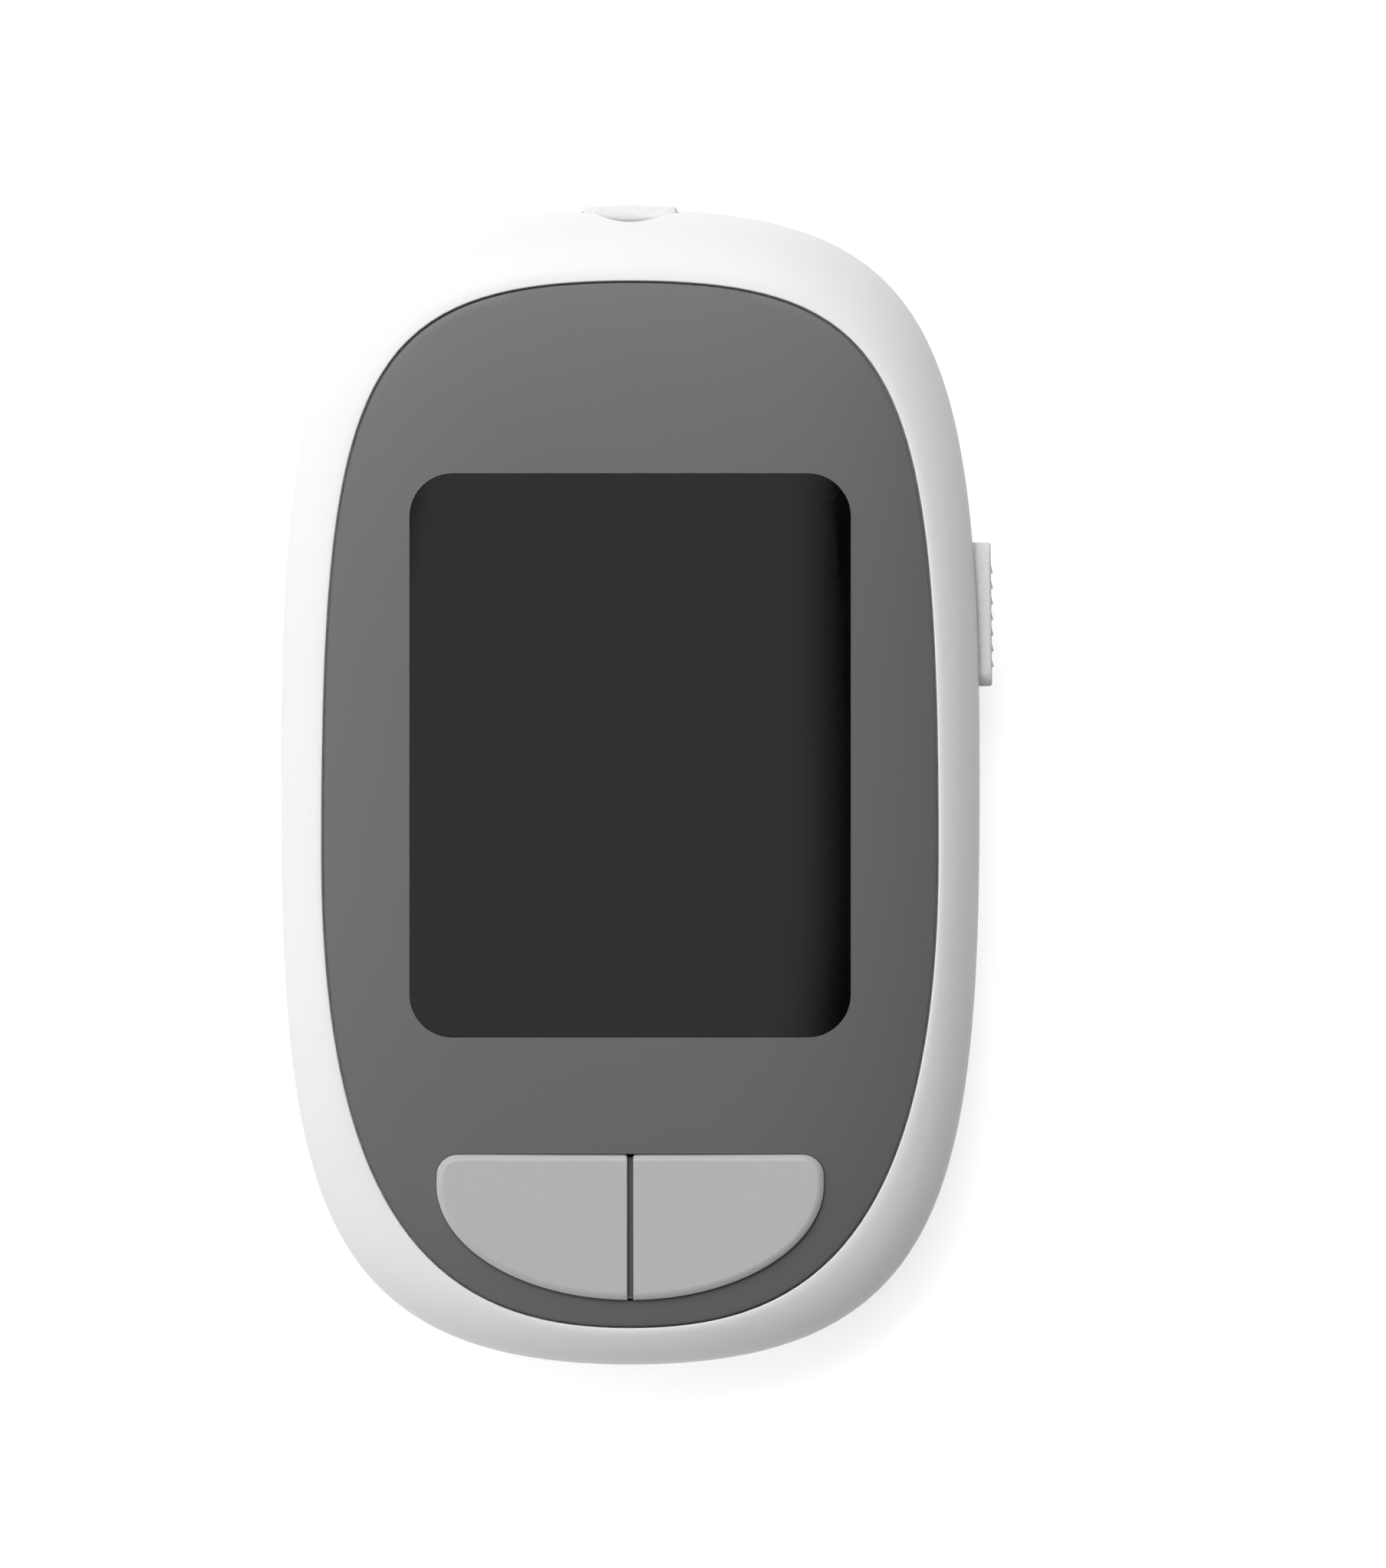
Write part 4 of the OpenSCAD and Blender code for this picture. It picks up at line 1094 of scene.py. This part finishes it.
rib_y = slider_high.y - first_rib - (rib_count - 1) * rib_pitch
rib_half_l = slider_half_h - end_slope[1] - 0.25
rib_side = [(-0.3, 0), (rib_h - 0.03, 0), (rib_h, 0.03), (rib_h, 0.06), (0, rib_pitch / 2), (-0.3, 0.5)]
rib = solid("slider rib", stack([
    [(x if x < 0 else x * share, y, z) for x, y in rib_side]
    for z, share in ((-rib_half_l, 0.05), (-rib_half_l + 0.15, 1),
                     (rib_half_l - 0.15, 1), (rib_half_l, 0.05))
]))
combine(slider, "UNION", row(
    "slider ribs", rib, rib_count, (slider_face(rib_y), rib_y, slider_z),
    (-slider_lean * rib_pitch / slider_len, rib_pitch, 0), grain_and_painted_pit_shade))
finish(slider, grain_and_painted_pit_shade, sharp=35)
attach(slider, "ejector")
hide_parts("ejector_slider")

# Spring steel, ground and tempered: the ejector's flat arm, the snap domes under the keys and the crystal's
# can. Grey metal with a fine grain one way, blurred more than plating.
spring_steel, tree, where = new_material("spring steel, ground")
one_way = add(tree, "ShaderNodeMapping", {0: where, "Scale": (0.08, 1, 1)}).outputs[0]
ground = add(tree, "ShaderNodeTexNoise", {
    "Vector": one_way, "Scale": 1 / (0.15 * mm), "Detail": 3.0}).outputs["Fac"]
dress(tree, ground, "#B9BABB", "#A3A4A6", (0.28, 0.42), Metallic=1.0)
repaint(spring_steel, "ejector_arm", "left_dome", "right_dome", "crystal_can")

# The return spring is wound from 0.3 mm wire. It lies along the meter between the arm's lug and a stop in
# the front case, and pushes the slider back down.
spring_low, spring_high = node_box("ejector_spring")
wire_d = 0.3
coil_turns = 9
coil_r = (spring_high.x - spring_low.x - wire_d) / 2
coil_len = spring_high.y - spring_low.y - wire_d


def coil():
    """Tree that sweeps a round wire along a helix and lays it along the meter."""
    tree, given = new_tree("wire wound along a helix", {
        "Coil radius": "Float", "Length": "Float", "Turns": "Float", "Wire": "Float",
        "Start": "Vector", "Finish": "Material",
    })
    helix = add(tree, "GeometryNodeCurveSpiral", {
        "Resolution": 28, "Rotations": given["Turns"], "Start Radius": given["Coil radius"],
        "End Radius": given["Coil radius"], "Height": given["Length"]})
    wire_r = add(tree, "ShaderNodeMath", {0: given["Wire"], 1: 0.5}, operation="MULTIPLY").outputs[0]
    wire = add(tree, "GeometryNodeCurvePrimitiveCircle", {"Resolution": 10, "Radius": wire_r})
    swept = add(tree, "GeometryNodeCurveToMesh",
                {"Curve": helix.outputs[0], "Profile Curve": wire.outputs[0], "Fill Caps": True})
    laid = add(tree, "GeometryNodeTransform", {
        "Geometry": swept.outputs[0], "Translation": given["Start"], "Rotation": (-math.pi / 2, 0, 0)})
    close_tree(tree, laid.outputs[0], given["Finish"])
    return tree


spring = grow("return_spring", coil(), {
    "Coil radius": coil_r * mm, "Length": coil_len * mm, "Turns": float(coil_turns), "Wire": wire_d * mm,
    "Start": Vector(((spring_low.x + spring_high.x) / 2, spring_low.y + wire_d / 2,
                     (spring_low.z + spring_high.z) / 2)) * mm,
    "Finish": spring_steel})
finish(spring, spring_steel, sharp=60)
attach(spring, "housing")
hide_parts("ejector_spring")

# -------------------------------------------------------------------------------------------- display stack
# Under the window lie a foam gasket, the liquid crystal panel in its white holder, the light guide with
# three LEDs at its lower edge, and the striped rubber strip that joins the panel's glass to the board.

# Black polyurethane foam tape: dull, with closed cells a tenth of a millimetre across.
foam_black, tree, where = new_material("black polyurethane foam")
bubbles = add(tree, "ShaderNodeTexVoronoi", {"Vector": where, "Scale": 1 / (0.12 * mm)}).outputs["Distance"]
dress(tree, bubbles, "#0D0D0D", "#1B1B1B", 0.95, bump=(bubbles, 0.05))
repaint(foam_black, "lens_gasket")

# Liquid crystal glass between polarisers: grey-green and glossy, with a faint shade to each pixel.
lcd_glass, tree, where = new_material("liquid crystal glass, polarised")
pixels = add(tree, "ShaderNodeTexBrick", {
    "Vector": where, "Color1": linear("#7C8576"), "Color2": linear("#7A8374"), "Mortar": linear("#6F786A"),
    "Scale": 1 / (0.6 * mm), "Mortar Size": 0.03, "Brick Width": 1.0, "Row Height": 1.0}, offset=0.0)
lcd_face = add(tree, "ShaderNodeBsdfPrincipled", {
    "Base Color": pixels.outputs["Color"], "Roughness": 0.08, "IOR": 1.52})
add(tree, "ShaderNodeOutputMaterial", {"Surface": lcd_face.outputs[0]})
repaint(lcd_glass, "lcd_panel")

# The holder is opaque white ABS, matt so that it scatters the back light evenly.
holder_white = moulded("white ABS, matt", "#E6E6E2", "#DEDEDA", grain=0.16, depth=0.004, gloss=(0.55, 0.65))
repaint(holder_white, "lcd_holder")

# Clear acrylic with a lattice of printed white dots that let the light out, half a millimetre apart.
guide_clear, tree, where = new_material("clear acrylic, dot-printed")
dots = add(tree, "ShaderNodeTexVoronoi", {
    "Vector": where, "Scale": 1 / (0.5 * mm), "Randomness": 0.0}).outputs["Distance"]
dot_tone = add(tree, "ShaderNodeMapRange", {0: dots, 1: 0.25, 2: 0.3, 3: 1.0, 4: 0.0})
guide_gloss = add(tree, "ShaderNodeMapRange", {0: dot_tone.outputs[0], 3: 0.05, 4: 0.6})
dress(tree, dot_tone.outputs[0], "#DDE2E2", "#F4F4F2", guide_gloss.outputs[0],
      IOR=1.49, **{"Transmission Weight": 0.5})
repaint(guide_clear, "light_guide")

# The LEDs are tiny white packages whose faces are silicone, pale yellow with phosphor.
led_white, tree, where = new_material("LED silicone with phosphor")
phosphor = add(tree, "ShaderNodeTexNoise", {
    "Vector": where, "Scale": 1 / (0.1 * mm), "Detail": 3.0}).outputs["Fac"]
dress(tree, phosphor, "#EFE79A", "#F2EFC8", 0.35, **{"Subsurface Weight": 0.2})
repaint(led_white, "backlight_leds")

# The joining strip is silicone rubber in layers, conducting black and insulating pink. In the real one they
# are about 0.1 mm apart. Here each is 0.6 mm wide, so that they show.
zebra_rubber, tree, where = new_material("silicone rubber, layered")
layers = add(tree, "ShaderNodeTexWave", {
    "Vector": where, "Scale": 0.05 / (0.2 * mm), "Distortion": 0.0}, bands_direction="X").outputs["Fac"]
layer_step = add(tree, "ShaderNodeMapRange", {0: layers, 1: 0.4, 2: 0.6})
dress(tree, layer_step.outputs[0], "#1D1B1C", "#D99AA6", 0.6)
repaint(zebra_rubber, "zebra_connector")

# ---------------------------------------------------------------------------------------------- electronics
# One glass-fibre board carries the processor, the memory, the crystal, small ceramic parts, the buzzer, the
# strip connector and both snap domes. It lies on the screw posts and the screws pass through it.

# Solder mask over copper on glass fibre: dark green and glossy, with paler tracks and a faint weave.
board_green, tree, where = new_material("glass-fibre board, green solder mask")
tracks = add(tree, "ShaderNodeTexBrick", {
    "Vector": where, "Scale": 1 / (1.4 * mm), "Mortar Size": 0.12, "Mortar Smooth": 0.1,
    "Brick Width": 2.5, "Row Height": 1.0}, offset=0.4).outputs["Fac"]
weave = add(tree, "ShaderNodeTexChecker", {"Vector": where, "Scale": 1 / (0.5 * mm)}).outputs["Fac"]
weave_share = add(tree, "ShaderNodeMath", {0: weave, 1: 0.12}, operation="MULTIPLY").outputs[0]
track_share = add(tree, "ShaderNodeMath", {0: tracks, 1: 0.6}, operation="MULTIPLY").outputs[0]
mask_share = add(tree, "ShaderNodeMath", {0: weave_share, 1: track_share}, operation="ADD").outputs[0]
dress(tree, mask_share, "#0E4A2B", "#2C7A4A", 0.25, bump=(track_share, 0.03), IOR=1.5)
repaint(board_green, "main_board")

# Black epoxy with glass filler, transfer-moulded: dull with a fine even grain.
chip_black = moulded("black epoxy, matt", "#1A1A1B", "#222224", grain=0.09, depth=0.004, gloss=(0.5, 0.62))
repaint(chip_black, "processor_chip", "memory_chip", "buzzer")

# Fired ceramic of the small capacitors: warm brown, slightly glossy, mottled from the firing.
parts_tan, tree, where = new_material("fired ceramic, tan")
mottle = add(tree, "ShaderNodeTexNoise", {
    "Vector": where, "Scale": 1 / (0.3 * mm), "Detail": 4.0}).outputs["Fac"]
dress(tree, mottle, "#A98A66", "#8F7150", 0.4)
repaint(parts_tan, "board_parts")

# The connector's body is glass-filled nylon: ivory, with short fibres that show as pale flecks.
socket_ivory = moulded("glass-filled nylon, ivory", "#E4DCC2", "#D6CDB0", grain=0.12, depth=0.006,
                       gloss=(0.4, 0.55), cloud=0.6)
repaint(socket_ivory, "strip_connector")

# --------------------------------------------------------------------------------- floor, light and camera
# A pale matt table in a dark room, under a soft panel. Two bright panels stand beyond its top and its upper
# left, glows come from the left and the bottom and a lamp from the top. The camera looks straight down
# from far away, so nothing leans.
for curve in (case_curve, face_curve):
    bpy.data.objects.remove(curve)

photo_h = 2044
photo_scale = 0.05699
photo_middle = (4.667, 0.225)
camera_height = 4400
floor_half = 6000
floor_drop = 0.02
table_t = 5
floor_bounce = 0.7

floor = solid("table", block((-floor_half, floor_half), (-floor_half, floor_half), (-table_t, -floor_drop)))
table_white, tree, where = new_material("table, matt white")
seen = add(tree, "ShaderNodeLightPath").outputs
mirror = add(tree, "ShaderNodeMath", {0: seen["Is Camera Ray"], 1: seen["Is Glossy Ray"]},
             operation="MAXIMUM").outputs[0]
direct = add(tree, "ShaderNodeMath", {0: mirror, 1: seen["Is Transmission Ray"]},
             operation="MAXIMUM").outputs[0]
mottle = add(tree, "ShaderNodeTexNoise", {"Vector": where, "Scale": 1 / (3 * mm)}).outputs["Fac"]
speck = add(tree, "ShaderNodeMix", {0: mottle, 6: linear("#E8E8E8"), 7: linear("#E6E6E6")},
            data_type="RGBA")
dull = add(tree, "ShaderNodeBsdfDiffuse", {"Color": speck.outputs[2]})
glow = add(tree, "ShaderNodeEmission", {"Color": linear("#FFFFFF"), "Strength": floor_bounce})
lit = add(tree, "ShaderNodeAddShader", {0: dull.outputs[0], 1: glow.outputs[0]})
table_top = add(tree, "ShaderNodeMixShader", {0: direct, 1: dull.outputs[0], 2: lit.outputs[0]})
add(tree, "ShaderNodeOutputMaterial", {"Surface": table_top.outputs[0]})
floor.data.materials.append(table_white)

# The overhead panel ends in soft edges, and on the right in a sharp one. Each edge is the direction that it
# faces, where it starts to fade and where it is gone. The window mirrors this panel, and shows its edges as
# shades. The other lights reach up to where the panel's last edge is.
panel_level = 0.75
panel_z = (0.964, 0.966)
panel_edges = [((1, -0.1, 0), 0.045, 0.139), ((1, 0.28, 0), 0.1275, 0.1295), ((-1, 0.68, 0), 0.140, 0.206),
               ((0, 1, 0), 0.085, 0.095), ((0, -1, 0), 0.065, 0.075), ((0, 0, -1), -panel_z[1], -panel_z[0])]
# The other lights are the direction of their middle, where they start and are full, and their level.
glows = [((-0.30, 0.25, 0.92), 0.92, 0.985, 1.89), ((-0.05, 0.36, 0.93), 0.92, 0.985, 5.16),
         ((-1, 0, 0), 0, 1, 1.16), ((0, -1, 0), 0, 1, 0.113)]

surround = bpy.data.worlds.new("soft panels in a dark room")
surround.use_nodes = True
tree = surround.node_tree
tree.nodes.clear()
way = add(tree, "ShaderNodeTexCoord").outputs["Generated"]
panel = panel_level
for axis, inner, outer in panel_edges:
    along = add(tree, "ShaderNodeVectorMath", {0: way, 1: axis}, operation="DOT_PRODUCT").outputs["Value"]
    fade = add(tree, "ShaderNodeMapRange", {0: along, 1: inner, 2: outer, 3: 1, 4: 0},
               interpolation_type="SMOOTHSTEP").outputs[0]
    panel = add(tree, "ShaderNodeMath", {0: panel, 1: fade}, operation="MULTIPLY").outputs[0]
around = 0
for axis, start, full, level in glows:
    along = add(tree, "ShaderNodeVectorMath", {0: way, 1: Vector(axis).normalized()},
                operation="DOT_PRODUCT").outputs["Value"]
    rise = add(tree, "ShaderNodeMapRange", {0: along, 1: start, 2: full, 3: 0, 4: level},
               interpolation_type="SMOOTHSTEP" if start else "LINEAR").outputs[0]
    around = add(tree, "ShaderNodeMath", {0: around, 1: rise}, operation="ADD").outputs[0]
way_z = add(tree, "ShaderNodeSeparateXYZ", {0: way}).outputs["Z"]
beside = add(tree, "ShaderNodeMapRange", {0: way_z, 1: panel_z[0], 2: panel_z[1], 3: 1, 4: 0}).outputs[0]
around = add(tree, "ShaderNodeMath", {0: around, 1: beside}, operation="MULTIPLY").outputs[0]
level = add(tree, "ShaderNodeMath", {0: panel, 1: around}, operation="ADD").outputs[0]
soft = add(tree, "ShaderNodeBackground", {"Color": linear("#FFFFFF"), "Strength": level})
white = add(tree, "ShaderNodeBackground", {"Color": linear("#FFFFFF"), "Strength": 1.0})
seen = add(tree, "ShaderNodeLightPath").outputs
shown = add(tree, "ShaderNodeMixShader",
            {0: seen["Is Camera Ray"], 1: soft.outputs[0], 2: white.outputs[0]})
add(tree, "ShaderNodeOutputWorld", {"Surface": shown.outputs[0]})
bpy.context.scene.world = surround

lamp = place("soft lamp beyond the top", bpy.data.lights.new("soft lamp beyond the top", "AREA"))
lamp.data.size = 140 * mm
lamp.data.energy = 0.197
lamp.location = Vector((-30, 220, 180)) * mm
lamp.rotation_mode = "QUATERNION"
lamp.rotation_quaternion = (-lamp.location).to_track_quat("-Z", "Y")
lamp.visible_camera = False

camera = place("camera", bpy.data.cameras.new("camera"))
camera.data.sensor_width = 36
camera.data.lens = camera.data.sensor_width * camera_height / (photo_h * photo_scale)
camera.location = Vector((*photo_middle, rim_z + camera_height)) * mm
camera.data.clip_start, camera.data.clip_end = 0.01, 10
bpy.context.scene.camera = camera
bpy.context.scene.view_settings.view_transform = "Standard"
